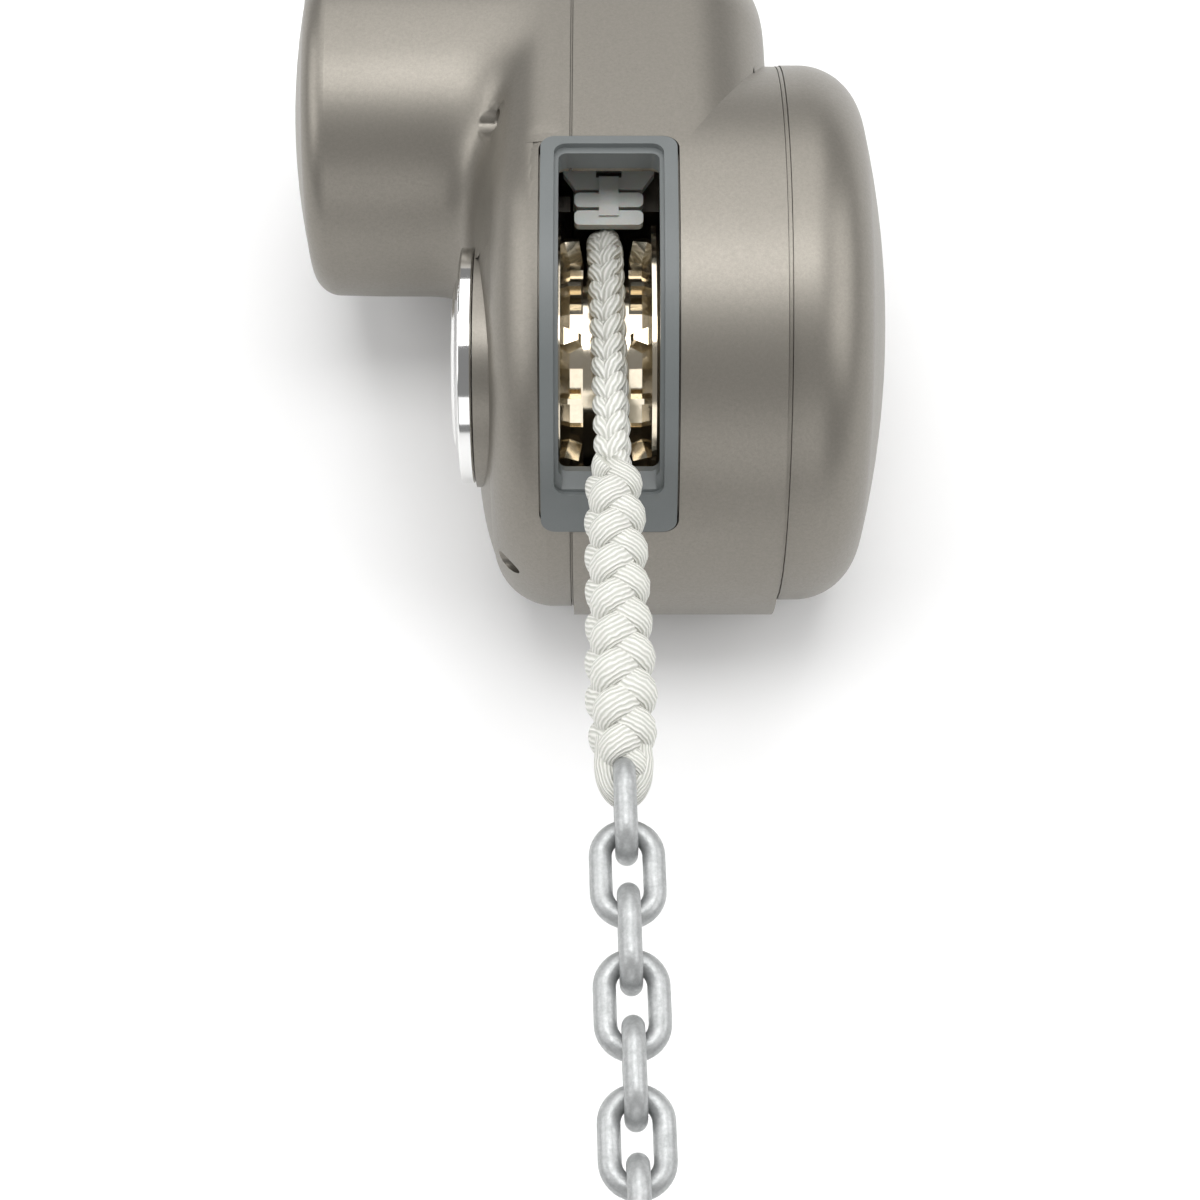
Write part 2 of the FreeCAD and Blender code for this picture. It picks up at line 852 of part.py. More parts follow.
def gear_key():
    right = main_gear_left + main_gear_width
    return box(
        main_gear_left, right, gypsy_y - 4, gypsy_y + 4, gypsy_z + shaft_r - 4, gypsy_z + shaft_r + 3
    )


def clutch_cone(side):
    """A bronze-faced cone keyed to the shaft, in the gypsy's tapered recess."""
    half = gypsy_width / 2
    hub = half + 2 if side > 0 else half + 5.5
    profile = [
        (side * (half - 9.7), shaft_r),
        (side * (half - 9.7), cone_small_r),
        (side * (half + 0.3), cone_big_r + 0.15),
        (side * (half + 0.3), 19.0),
        (side * hub, 18.0),
        (side * hub, shaft_r),
    ]
    return turned(profile, GYPSY).cut(clutch_key()).removeSplitter()


def spring_washers():
    """Two opposed disc springs between the outer cone and the cap's hub."""
    x = -gypsy_width / 2 - 5.5
    thick = 1.2
    rise = 0.6
    r_in = thread_r + 0.4
    r_out = cap_hub_r - 0.5
    first = turned([(x, r_in), (x - rise, r_out), (x - rise - thick, r_out), (x - thick, r_in)], GYPSY)
    x2 = x - 2 * thick - 2 * rise
    second = turned([(x2 + thick, r_in), (x2 + thick + rise, r_out), (x2 + rise, r_out), (x2, r_in)], GYPSY)
    return Part.makeCompound([first, second])


def clutch_cap():
    """The polished clutch nut: a rim, a shallow dome with a bare bevel and a lever socket."""
    hub_end = -gypsy_width / 2 - 5.5 - 3.7
    rim_end = cap_back - cap_rim
    apex = rim_end - cap_dome
    return turned(
        [
            (hub_end, thread_r + running),
            (hub_end, cap_hub_r),
            (cap_back, cap_hub_r),
            (cap_back, cap_r - 0.6),
            (cap_back - 0.6, cap_r),
            (rim_end + 0.8, cap_r),
            ((rim_end + 0.2, cap_r - 0.25), (rim_end, cap_r - 0.9)),
            (apex + 1.0, cap_r - 11),
            ((apex + 0.3, cap_r - 12.5), (apex, cap_r - 16)),
            (apex, lever_socket_r + 1),
            (apex + 1, lever_socket_r),
            (apex + lever_socket_depth, lever_socket_r),
            (apex + lever_socket_depth, thread_r + running),
        ],
        GYPSY,
    )


def cap_seal():
    return ring(left_face + 0.6, left_face + wall - 0.4, GYPSY, cap_hub_r + free, 24)


def gear_points(module, teeth, first_deg, tip_share, slack):
    """The corners of a spur gear's outline, with short straight flanks inside the true curve."""
    pitch_r = module * teeth / 2
    base_r = pitch_r * math.cos(math.radians(20))
    tip_r = pitch_r + tip_share * module
    root_r = pitch_r - 1.25 * module
    half_pitch = math.pi / teeth / 2 - slack / (2 * pitch_r)
    inv_pitch = math.tan(math.radians(20)) - math.radians(20)

    def half_angle(r):
        if r <= base_r:
            return half_pitch + inv_pitch
        a = math.acos(base_r / r)
        return half_pitch + inv_pitch - (math.tan(a) - a)

    points = []
    for k in range(teeth):
        middle = math.radians(first_deg) + 2 * math.pi * k / teeth
        for r, sign in ((root_r, -1), (pitch_r, -1), (tip_r, -1), (tip_r, 1), (pitch_r, 1), (root_r, 1)):
            points.append((r, middle + sign * half_angle(max(r, root_r))))
    return points


def gear(x0, width, centre, module, teeth, first_deg, tip_share=0.9, slack=0.12):
    """A spur gear. The first tooth points at an angle measured from +Y towards +Z."""
    corners = []
    for r, a in gear_points(module, teeth, first_deg, tip_share, slack):
        corners.append((centre[0] + r * math.cos(a), centre[1] + r * math.sin(a)))
    return prism(corners, x0, x0 + width)


def direction(start, end):
    return math.degrees(math.atan2(end[1] - start[1], end[0] - start[0]))


def main_gear():
    towards = direction(GYPSY, LAYSHAFT)
    blank = gear(main_gear_left, main_gear_width, GYPSY, gear_module, main_teeth, towards)
    right = main_gear_left + main_gear_width
    dish = ring(main_gear_left - 1, main_gear_left + 3, GYPSY, dish_in, dish_out)
    dish_right = ring(right - 3, right + 1, GYPSY, dish_in, dish_out)
    holes = []
    for k in range(6):
        a = math.radians(60 * k + 30)
        reach = (dish_in + dish_out) / 2
        spot = (gypsy_y + reach * math.cos(a), gypsy_z + reach * math.sin(a))
        holes.append(disc(main_gear_left, right, spot, 6.5))
    bore = disc(main_gear_left - 1, right + 1, GYPSY, shaft_r)
    return blank.cut([dish, dish_right, bore, gear_key()] + holes).removeSplitter()


def gear_circlip():
    x = main_gear_left + main_gear_width
    return ring(x, x + 1.6, GYPSY, shaft_r, shaft_r + 3.2)


def bearing_spacer():
    x = bearing_left_x + bearing_width
    return ring(x, main_gear_left, GYPSY, shaft_r, shaft_r + 4)


def layshaft():
    towards = direction(LAYSHAFT, GYPSY) + 180.0 / pinion_teeth
    pinion = gear(
        main_gear_left - 1, main_gear_width + 2, LAYSHAFT, gear_module, pinion_teeth, towards
    )
    shaft = disc(bearing_left_x + 1, layshaft_right, LAYSHAFT, layshaft_r)
    return fused([shaft, pinion]).cut(layshaft_key()).removeSplitter()


def layshaft_key():
    y, z = LAYSHAFT
    x1 = fast_gear_left + fast_gear_width
    return box(fast_gear_left, x1, y - 2.5, y + 2.5, z + layshaft_r - 3, z + layshaft_r + 2)


def layshaft_gear():
    towards = direction(LAYSHAFT, MOTOR)
    right = fast_gear_left + fast_gear_width
    blank = gear(fast_gear_left, fast_gear_width, LAYSHAFT, fast_module, fast_teeth, towards)
    hub = disc(fast_gear_left - 1.5, right + 2, LAYSHAFT, 13)
    holes = []
    for k in range(5):
        a = math.radians(72 * k + 20)
        spot = (LAYSHAFT[0] + 24 * math.cos(a), LAYSHAFT[1] + 24 * math.sin(a))
        holes.append(disc(fast_gear_left - 1, right + 1, spot, 6))
    bore = disc(fast_gear_left - 2, right + 3, LAYSHAFT, layshaft_r)
    return fused([blank, hub]).cut([bore, layshaft_key()] + holes).removeSplitter()


def layshaft_bushes():
    left = ring(bearing_left_x + 0.5, web_right + 7, LAYSHAFT, layshaft_r + running, layshaft_r + 3)
    x0 = fast_gear_left + fast_gear_width + 4
    right = ring(x0, layshaft_right + bush_over, LAYSHAFT, layshaft_r + running, layshaft_r + 3)
    return Part.makeCompound([left, right])


def ball_bearing(x0, width, r_in, r_out):
    """A sealed ball bearing with a recessed shield on each side."""
    step = (r_out - r_in) / 4
    return turned(
        [
            (x0, r_in),
            (x0, r_in + step),
            (x0 + 0.8, r_in + step),
            (x0 + 0.8, r_out - step),
            (x0, r_out - step),
            (x0, r_out),
            (x0 + width, r_out),
            (x0 + width, r_out - step),
            (x0 + width - 0.8, r_out - step),
            (x0 + width - 0.8, r_in + step),
            (x0 + width, r_in + step),
            (x0 + width, r_in),
        ],
        GYPSY,
    )


def shaft_seal():
    return ring(chamber_right - 4, bearing_left_x, GYPSY, shoulder_r + 0.1, shoulder_r + 6)


def motor_can():
    return ring(can_left, chamber_right - bell_thick, MOTOR, can_r - can_wall, can_r)


def field_magnets():
    pair = []
    x0 = can_left + magnet_left
    x1 = chamber_right - magnet_right
    tube = ring(x0, x1, MOTOR, can_r - can_wall - magnet_thick, can_r - can_wall)
    for side in (-1, 1):
        half = box(
            can_left,
            chamber_right,
            motor_y - magnet_half,
            motor_y + magnet_half,
            motor_z + (10 if side > 0 else -can_r),
            motor_z + (can_r if side > 0 else -10),
        )
        pair.append(tube.common(half))
    return Part.makeCompound(pair)


def drive_bell():
    x = chamber_right - bell_thick
    plate = disc(x, chamber_right, MOTOR, can_r)
    pilot = disc(chamber_right - 1, web_right - 0.5, MOTOR, 16)
    bore = disc(x - 1, web_right, MOTOR, 12)
    cuts = [bore]
    for y in (-bell_screw_y, bell_screw_y):
        cuts.append(disc(x - 1, chamber_right + 1, (motor_y + y, motor_z), 2.0))
    return fused([plate, pilot]).cut(cuts)


def rear_bell():
    x = can_left
    plate = disc(x - bell_thick, x, MOTOR, can_r)
    boss = disc(x - bell_thick - 3, x, MOTOR, 16)
    bore = disc(x - bell_thick - 1.5, x + 1, MOTOR, 12)
    return fused([plate, boss]).cut(bore)


def motor_bearings():
    front = ring(chamber_right - bell_thick, web_right - 0.5, MOTOR, motor_shaft_r + running, 12)
    rear = ring(can_left - bell_thick - 1.5, can_left, MOTOR, motor_shaft_r + running, 12)
    return Part.makeCompound([front, rear])


def bell_screws():
    screws = []
    for y in (-bell_screw_y, bell_screw_y):
        spot = (motor_y + y, motor_z)
        shank = disc(chamber_right - bell_thick, web_right, spot, 2.0)
        head = disc(web_right, web_right + 3, spot, 3.6)
        screws.append(fused([shank, head]))
    return Part.makeCompound(screws)


def armature():
    """The motor shaft with its slotted core and windings."""
    shaft = disc(can_left - bell_thick - 1, fast_gear_left + fast_gear_width, MOTOR, motor_shaft_r)
    core = disc(can_left + 30, chamber_right - 20, MOTOR, can_r - can_wall - 6)
    slots = []
    for k in range(12):
        a = math.radians(30 * k)
        r = can_r - can_wall - 7
        spot = (motor_y + r * math.cos(a), motor_z + r * math.sin(a))
        slots.append(disc(can_left + 29, chamber_right - 19, spot, 2.2))
    ends = [
        disc(can_left + 24, can_left + 30, MOTOR, 26),
        disc(chamber_right - 20, chamber_right - 12, MOTOR, 26),
    ]
    return fused([shaft, core] + ends).cut(slots).removeSplitter()


def commutator():
    return ring(can_left + 6, can_left + 22, MOTOR, motor_shaft_r, 15)


def brushes():
    pair = []
    for side in (-1, 1):
        near = motor_y + side * (15 + free)
        far = motor_y + side * (can_r - can_wall - 0.5)
        pair.append(box(can_left + 8, can_left + 20, min(near, far), max(near, far), motor_z - 5, motor_z + 5))
    return Part.makeCompound(pair)


def motor_pinion():
    towards = direction(MOTOR, LAYSHAFT) + 180.0 / motor_teeth
    blank = gear(fast_gear_left, fast_gear_width, MOTOR, fast_module, motor_teeth, towards)
    return blank.cut(disc(fast_gear_left - 1, fast_gear_left + fast_gear_width + 1, MOTOR, motor_shaft_r))


def cable_gland():
    """The motor cable's gland under the barrel."""
    top = motor_z - barrel_r
    spot = Vector(-85, motor_y, 0)
    body = Part.makeCylinder(9.0, 8, spot + Vector(0, 0, top + 0.5), Vector(0, 0, 1))
    hexagon = []
    for k in range(7):
        a = math.radians(60 * k)
        hexagon.append(Vector(-85 + 12 * math.cos(a), motor_y + 12 * math.sin(a), top - 5))
    nut = Part.Face(Part.makePolygon(hexagon)).extrude(Vector(0, 0, 5))
    cone = Part.makeCone(7, 9.5, 6, spot + Vector(0, 0, top - 11), Vector(0, 0, 1))
    bore = Part.makeCylinder(5, 30, spot + Vector(0, 0, top - 12), Vector(0, 0, 1))
    return fused([body, nut, cone]).cut(bore)


def casing_screws():
    screws = []
    head_end = left_face + 27.5
    for degrees in screw_angles:
        spot = on_drum(screw_circle_r, degrees)
        head = disc(head_end - head_high, head_end, spot, head_r)
        socket = disc(head_end - head_high - 1, head_end - head_high + 2.4, spot, socket_r)
        shank = disc(head_end, 6, spot, screw_r)
        screws.append(fused([head, shank]).cut(socket))
    return Part.makeCompound(screws)


def cover_screws():
    screws = []
    for degrees in cover_screw_angles:
        spot = on_drum(screw_circle_r, degrees)
        head = disc(cover_head_seat - head_high, cover_head_seat, spot, head_r)
        socket = disc(cover_head_seat - head_high - 1, cover_head_seat - head_high + 2.4, spot, socket_r)
        shank = disc(cover_head_seat, seam_right + cover_gap + 11, spot, screw_r)
        screws.append(fused([head, shank]).cut(socket))
    return Part.makeCompound(screws)


def finger_outline():
    """The tongue's length along its slope, from the pin to the tip."""
    contact = math.radians(138.0)
    touch_r = rope_path_r + rope_d / 2 + free + finger_thick / 2
    tip = (gypsy_y - touch_r * math.cos(contact), gypsy_z + touch_r * math.sin(contact))
    return tip


def pressure_finger():
    """The nylon tongue that holds the rode down in the gypsy: a hinge tab and two cross tabs on a raised spine."""
    tip = finger_outline()
    dy = tip[0] - finger_pivot_y
    dz = tip[1] - finger_pivot_z
    length = math.hypot(dy, dz)
    angle = math.degrees(math.atan2(dz, -dy))
    low = -finger_thick / 2
    high = finger_thick / 2

    def plate(outline, z0, z1):
        corners = [Vector(window_x + x, -s, z0) for x, s in outline]
        return Part.Face(Part.makePolygon(corners + corners[:1])).extrude(Vector(0, 0, z1 - z0))

    def tab(s0, s1, half, corner_r):
        piece = plate([(-half, s0), (half, s0), (half, s1), (-half, s1)], low, high)
        uprights = [e for e in piece.Edges if e.BoundBox.ZLength > finger_thick - 0.01]
        return piece.makeFillet(corner_r, uprights)

    hinge = plate([(-tab_half, 0), (tab_half, 0), (tab_half, 6.5), (11.5, 12.2), (-11.5, 12.2), (-tab_half, 6.5)], low, high)
    middle = (length + 13.4) / 2
    parts = [
        hinge,
        plate([(-3.4, 8), (3.4, 8), (3.4, length - 3), (-3.4, length - 3)], low + 0.4, high + 1.2),
        tab(13.4, middle - 0.6, 11.8, 1.8),
        tab(middle + 0.6, length, 11.8, 1.8),
    ]
    cuts = [plate([(-4.4, 4.6), (4.4, 4.6), (4.4, 8), (-4.4, 8)], low - 1, high + 3)]
    tongue = fused(parts).cut(cuts)
    tongue.rotate(Vector(0, 0, 0), Vector(1, 0, 0), -angle)
    tongue.translate(Vector(0, finger_pivot_y, finger_pivot_z))
    barrel = disc(window_x - tab_half, window_x + tab_half, on_finger_pin(), finger_thick / 2 + 1.2)
    bore = disc(window_x - 20, window_x + 20, on_finger_pin(), finger_pin_r + running)
    return fused([tongue, barrel]).cut(bore).removeSplitter()


def finger_pin():
    return disc(window_x - 21, window_x + 21, on_finger_pin(), finger_pin_r)


def stripper():
    """The bronze finger that lifts chain and rope out of the gypsy above the deck pipe."""
    y_wall = gypsy_y + rope_path_r - rope_d / 2 - 1.2
    floor = gypsy_r_floor()
    low = gypsy_z - 44
    points = [
        (y_wall, gypsy_z - 9),
        (y_wall, low),
        (-8, low),
    ]
    for degrees in (248, 232, 216, 202):
        a = math.radians(degrees)
        r = floor + 0.9
        points.append((gypsy_y - r * math.cos(a), gypsy_z + r * math.sin(a)))
    blade = prism(points, -4, 4)
    base = box(-9, 9, -20, y_wall, low - 12, low)
    return fused([blade, base]).common(disc(-10, 10, GYPSY, chamber_r()))


def gypsy_r_floor():
    return rope_path_r - rope_d / 2 - 0.4


def rode_frame():
    """The corner of the rode's route over the gypsy, and its straight direction towards the bow."""
    rise = math.radians(rope_rise_deg)
    drift = math.radians(rope_drift_deg)
    ahead = Vector(math.sin(drift), -math.cos(drift) * math.cos(rise), math.sin(rise))
    y_tail = gypsy_y + rope_path_r
    leave_y = gypsy_y + rope_path_r * math.sin(rise)
    leave_z = gypsy_z + rope_path_r * math.cos(rise)
    corner_z = leave_z - (y_tail - leave_y) * math.tan(rise)
    return Vector(-0.6, y_tail, corner_z), ahead


def rounded_path(points, radii):
    """Straight runs joined by tangent arcs, as one wire."""
    edges = []
    here = points[0]
    for i in range(1, len(points) - 1):
        before = (points[i - 1] - points[i]).normalize()
        after = (points[i + 1] - points[i]).normalize()
        half = before.getAngle(after) / 2
        back = radii[i - 1] / math.tan(half)
        start = points[i] + before * back
        end = points[i] + after * back
        inward = (before + after).normalize()
        middle = points[i] + inward * (radii[i - 1] / math.sin(half) - radii[i - 1])
        edges.append(Part.LineSegment(here, start).toShape())
        edges.append(Part.Arc(start, middle, end).toShape())
        here = end
    edges.append(Part.LineSegment(here, points[-1]).toShape())
    return Part.Wire(edges)


def tube(path, r):
    start = path.Edges[0].Vertexes[0].Point
    along = (path.Edges[0].Vertexes[1].Point - start).normalize()
    section = Part.Wire(Part.makeCircle(r, start, along))
    return path.makePipeShell([section], True, False)


def along_rode(distance):
    """A point on the straight part of the rode, from where it leaves the gypsy."""
    corner, ahead = rode_frame()
    return corner + ahead * (corner_back() + distance)


def corner_back():
    return rope_path_r * math.tan(math.radians(90 - rope_rise_deg) / 2)


def rope_route():
    """The route's points: the tail, a point each side of the corner at the gypsy, and the splice."""
    corner, ahead = rode_frame()
    tail = Vector(corner.x, corner.y, 1.0)
    below = corner - Vector(0, 0, 2 * corner_back())
    beyond = corner + ahead * (2 * corner_back())
    return [tail, below, corner, beyond, along_rode(splice_start)]


def rope():
    corner, ahead = rode_frame()
    tail = Vector(corner.x, corner.y, 1.0)
    path = rounded_path([tail, corner, along_rode(splice_start)], [rope_path_r])
    print("rope route", [tuple(round(v, 3) for v in p) for p in rope_route()])
    print("rope bend radius", rope_path_r, "length", round(path.Length, 1))
    return tube(path, rope_d / 2)


def rope_splice():
    """The rope spliced back on itself round the first link, thicker towards the chain."""
    base = rope_d / 2
    full = splice_d / 2
    length = splice_length
    profile = [
        (0, 0),
        (0, base),
        (12, base + 1.6),
        (length * 0.45, full - 0.8),
        (length - 22, full),
        ((length - 8, full - 1.4), (length, full - 5.5)),
        (length, 0),
    ]
    solid = turned(profile, (0, 0))
    _, ahead = rode_frame()
    solid.Placement = FreeCAD.Placement(
        along_rode(splice_start), FreeCAD.Rotation(Vector(1, 0, 0), ahead)
    ).multiply(solid.Placement)
    return solid.cut(chain_link(along_rode(chain_first), ahead, False))


def chain_link(centre, along, flat):
    """One short link: two bars and two round ends."""
    r = chain_wire / 2
    half_width = chain_width / 2 - r
    half_straight = chain_pitch / 2 + r - half_width
    parts = []
    for side in (-1, 1):
        bar = Part.makeCylinder(
            r, 2 * half_straight, Vector(-half_straight, side * half_width, 0), Vector(1, 0, 0)
        )
        bend = Part.makeTorus(half_width, r, Vector(0, 0, 0), Vector(0, 0, 1), -180, 180, 180)
        bend.rotate(Vector(0, 0, 0), Vector(0, 0, 1), -90 if side > 0 else 90)
        bend.translate(Vector(side * half_straight, 0, 0))
        parts.extend([bar, bend])
    link = fused(parts)
    aim = FreeCAD.Rotation(Vector(1, 0, 0), along)
    across = aim.multVec(Vector(0, 1, 0))
    level = Vector(1, 0, 0) if flat else along.cross(Vector(1, 0, 0))
    level = (level - along * level.dot(along)).normalize()
    sign = 1 if across.cross(level).dot(along) > 0 else -1
    roll = FreeCAD.Rotation(along, math.degrees(across.getAngle(level)) * sign)
    link.Placement = FreeCAD.Placement(centre, roll.multiply(aim))
    return link


def chain_links():
    _, ahead = rode_frame()
    links = []
    for k in range(chain_links_count):
        links.append(chain_link(along_rode(chain_first + k * chain_pitch), ahead, k % 2 == 1))
    return Part.makeCompound(links)


def shackle():
    """A galvanised D shackle through the last link, its pin across the rode."""
    corner, ahead = rode_frame()
    bar = 4.0
    inner = 8.0
    last = chain_first + (chain_links_count - 1) * chain_pitch
    tip = along_rode(last + chain_pitch / 2 - bar + inner - 0.2)
    bow = Part.makeTorus(inner, bar, Vector(0, 0, 0), Vector(0, 0, 1), -180, 180, 180)
    bow.rotate(Vector(0, 0, 0), Vector(0, 0, 1), 90)
    legs = []
    for side in (-1, 1):
        legs.append(Part.makeCylinder(bar, 20, Vector(0, side * inner, 0), Vector(1, 0, 0)))
        legs.append(Part.makeCylinder(7.5, 6.4, Vector(22, side * inner - 3.2, 0), Vector(0, 1, 0)))
    body = fused([bow] + legs)
    body = body.cut(Part.makeCylinder(4.0, 40, Vector(22, -20, 0), Vector(0, 1, 0)))
    aim = FreeCAD.Rotation(Vector(1, 0, 0), ahead)
    if chain_links_count % 2 == 0:
        aim = aim.multiply(FreeCAD.Rotation(Vector(1, 0, 0), 90))
    body.Placement = FreeCAD.Placement(tip, aim)
    pin = Part.makeCylinder(4.0, 27, Vector(22, -12.5, 0), Vector(0, 1, 0))
    head = Part.makeCylinder(7.0, 4, Vector(22, -16.5, 0), Vector(0, 1, 0))
    pin = fused([pin, head])
    pin.Placement = FreeCAD.Placement(tip, aim)
    return body, pin


def nodes():
    shackle_bow, shackle_pin = shackle()
    return {
        "deck_gasket": deck_gasket(),
        "centre_housing": centre_housing(),
        "left_casing": left_casing(),
        "seam_seal": seam_seal(),
        "gear_cover": gear_cover(),
        "cover_gasket": cover_gasket(),
        "window_frame": window_frame(),
        "casing_screws": casing_screws(),
        "cover_screws": cover_screws(),
        "cable_gland": cable_gland(),
        "stripper": stripper(),
        "main_bearing": ball_bearing(bearing_left_x, bearing_width, shaft_r + running, bearing_left_r),
        "cover_bearing": ball_bearing(
            bearing_right_x, bearing_right_width, shaft_end_r + running, bearing_right_r
        ),
        "shaft_seal": shaft_seal(),
        "layshaft_bushes": layshaft_bushes(),
        "main_shaft": main_shaft(),
        "clutch_key": clutch_key(),
        "gear_key": gear_key(),
        "inner_clutch_cone": clutch_cone(1),
        "outer_clutch_cone": clutch_cone(-1),
        "spring_washers": spring_washers(),
        "main_gear": main_gear(),
        "gear_circlip": gear_circlip(),
        "bearing_spacer": bearing_spacer(),
        "gypsy": gypsy(),
        "clutch_cap": clutch_cap(),
        "cap_seal": cap_seal(),
        "layshaft": layshaft(),
        "layshaft_key": layshaft_key(),
        "layshaft_gear": layshaft_gear(),
        "motor_can": motor_can(),
        "field_magnets": field_magnets(),
        "drive_bell": drive_bell(),
        "rear_bell": rear_bell(),
        "motor_bearings": motor_bearings(),
        "bell_screws": bell_screws(),
        "brushes": brushes(),
        "armature": armature(),
        "commutator": commutator(),
        "motor_pinion": motor_pinion(),
        "pressure_finger": pressure_finger(),
        "finger_pin": finger_pin(),
        "rope": rope(),
        "rope_splice": rope_splice(),
        "chain_links": chain_links(),
        "shackle_bow": shackle_bow,
        "shackle_pin": shackle_pin,
    }


os.makedirs("parts", exist_ok=True)
for name, shape in nodes().items():
    volume = sum(solid.Volume for solid in shape.Solids)
    print(name, len(shape.Solids), "solids", round(volume / 1000, 2), "cm3", "valid" if shape.isValid() else "INVALID")
    shape.exportStep("parts/" + name + ".step")
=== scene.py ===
# %% [markdown]
# # Horizontal anchor windlass
# The CAD model gives the form, and this scene gives it the look of the photograph.
# Distances are in metres, in the model's own frame.
# +Z is up from the deck, -Y is towards the bow and +X runs along the shafts.

import json
import math

import bmesh
import bpy
import numpy as np
from mathutils import Vector
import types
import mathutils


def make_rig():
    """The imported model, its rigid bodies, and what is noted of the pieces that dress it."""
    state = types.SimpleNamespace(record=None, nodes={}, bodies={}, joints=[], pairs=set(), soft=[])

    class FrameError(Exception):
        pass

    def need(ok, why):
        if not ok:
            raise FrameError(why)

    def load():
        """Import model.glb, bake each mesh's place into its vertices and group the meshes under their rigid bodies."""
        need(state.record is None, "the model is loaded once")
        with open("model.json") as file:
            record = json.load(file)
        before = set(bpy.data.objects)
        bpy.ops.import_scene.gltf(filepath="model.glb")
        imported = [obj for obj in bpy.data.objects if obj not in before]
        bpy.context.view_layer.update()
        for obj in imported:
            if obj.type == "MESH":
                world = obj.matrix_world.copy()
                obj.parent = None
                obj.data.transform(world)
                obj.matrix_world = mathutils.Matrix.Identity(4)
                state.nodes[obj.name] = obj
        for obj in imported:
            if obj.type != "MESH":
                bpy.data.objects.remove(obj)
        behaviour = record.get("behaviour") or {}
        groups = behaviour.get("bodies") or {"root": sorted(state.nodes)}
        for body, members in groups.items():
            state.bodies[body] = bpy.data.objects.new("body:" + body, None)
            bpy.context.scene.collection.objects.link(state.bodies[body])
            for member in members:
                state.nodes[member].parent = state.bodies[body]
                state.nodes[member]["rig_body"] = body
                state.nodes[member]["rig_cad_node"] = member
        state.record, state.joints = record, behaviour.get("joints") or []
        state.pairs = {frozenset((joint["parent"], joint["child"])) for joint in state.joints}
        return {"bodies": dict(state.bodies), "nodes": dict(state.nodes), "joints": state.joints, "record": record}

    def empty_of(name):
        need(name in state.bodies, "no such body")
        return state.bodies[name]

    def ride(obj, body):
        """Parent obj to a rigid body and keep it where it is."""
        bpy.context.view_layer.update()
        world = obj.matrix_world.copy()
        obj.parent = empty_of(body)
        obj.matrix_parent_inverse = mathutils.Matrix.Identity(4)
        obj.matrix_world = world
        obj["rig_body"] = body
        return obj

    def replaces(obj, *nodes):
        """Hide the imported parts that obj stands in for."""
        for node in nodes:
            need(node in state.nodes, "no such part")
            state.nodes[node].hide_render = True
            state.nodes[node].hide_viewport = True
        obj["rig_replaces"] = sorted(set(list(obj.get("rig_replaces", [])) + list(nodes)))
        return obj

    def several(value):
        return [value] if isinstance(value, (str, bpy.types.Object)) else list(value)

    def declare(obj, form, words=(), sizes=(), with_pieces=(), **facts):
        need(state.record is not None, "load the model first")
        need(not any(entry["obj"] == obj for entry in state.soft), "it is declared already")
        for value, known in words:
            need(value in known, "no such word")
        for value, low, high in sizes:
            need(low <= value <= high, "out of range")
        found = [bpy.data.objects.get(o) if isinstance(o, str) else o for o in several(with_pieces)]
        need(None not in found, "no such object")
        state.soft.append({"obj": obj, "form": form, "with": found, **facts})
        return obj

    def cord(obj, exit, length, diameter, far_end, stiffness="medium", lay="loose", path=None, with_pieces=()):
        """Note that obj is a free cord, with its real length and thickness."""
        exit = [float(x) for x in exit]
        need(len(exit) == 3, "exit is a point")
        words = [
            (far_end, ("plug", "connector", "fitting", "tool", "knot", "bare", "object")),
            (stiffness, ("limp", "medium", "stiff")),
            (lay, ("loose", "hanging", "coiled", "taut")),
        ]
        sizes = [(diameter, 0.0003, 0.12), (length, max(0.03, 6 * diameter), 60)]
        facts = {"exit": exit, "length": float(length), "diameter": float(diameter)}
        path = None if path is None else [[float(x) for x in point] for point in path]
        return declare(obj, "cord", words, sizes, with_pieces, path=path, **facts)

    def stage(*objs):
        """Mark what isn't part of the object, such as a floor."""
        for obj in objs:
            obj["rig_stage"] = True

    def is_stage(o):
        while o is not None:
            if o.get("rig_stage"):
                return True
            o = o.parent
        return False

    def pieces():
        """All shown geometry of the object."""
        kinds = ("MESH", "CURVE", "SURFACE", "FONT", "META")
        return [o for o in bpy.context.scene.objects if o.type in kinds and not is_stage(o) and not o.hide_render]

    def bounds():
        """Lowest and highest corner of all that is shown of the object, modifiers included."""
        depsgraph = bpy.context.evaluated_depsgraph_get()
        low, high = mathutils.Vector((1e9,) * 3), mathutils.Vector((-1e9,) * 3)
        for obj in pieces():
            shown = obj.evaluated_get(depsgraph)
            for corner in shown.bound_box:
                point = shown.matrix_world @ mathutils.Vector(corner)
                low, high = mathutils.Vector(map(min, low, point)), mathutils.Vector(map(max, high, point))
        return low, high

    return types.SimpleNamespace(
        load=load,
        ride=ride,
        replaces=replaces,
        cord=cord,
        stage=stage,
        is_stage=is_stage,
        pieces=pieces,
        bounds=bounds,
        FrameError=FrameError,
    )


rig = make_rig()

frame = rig.load()
cad_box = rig.bounds()
nodes = frame["nodes"]

# %% [markdown]
# ## Effects shared by the materials
# Each effect is one node group, so that a change of grain or wear is made in one place.
# The textures run on Object coordinates, in metres, so they keep their real size on every piece.

# %% Node helpers


def new_group(name, inputs, outputs):
    """An empty shader group with the named sockets, and its two end nodes."""
    tree = bpy.data.node_groups.new(name, "ShaderNodeTree")
    for label, kind, value in inputs:
        socket = tree.interface.new_socket(label, in_out="INPUT", socket_type=kind)
        if value is not None:
            socket.default_value = value
    for label, kind in outputs:
        tree.interface.new_socket(label, in_out="OUTPUT", socket_type=kind)
    return tree, tree.nodes.new("NodeGroupInput"), tree.nodes.new("NodeGroupOutput")


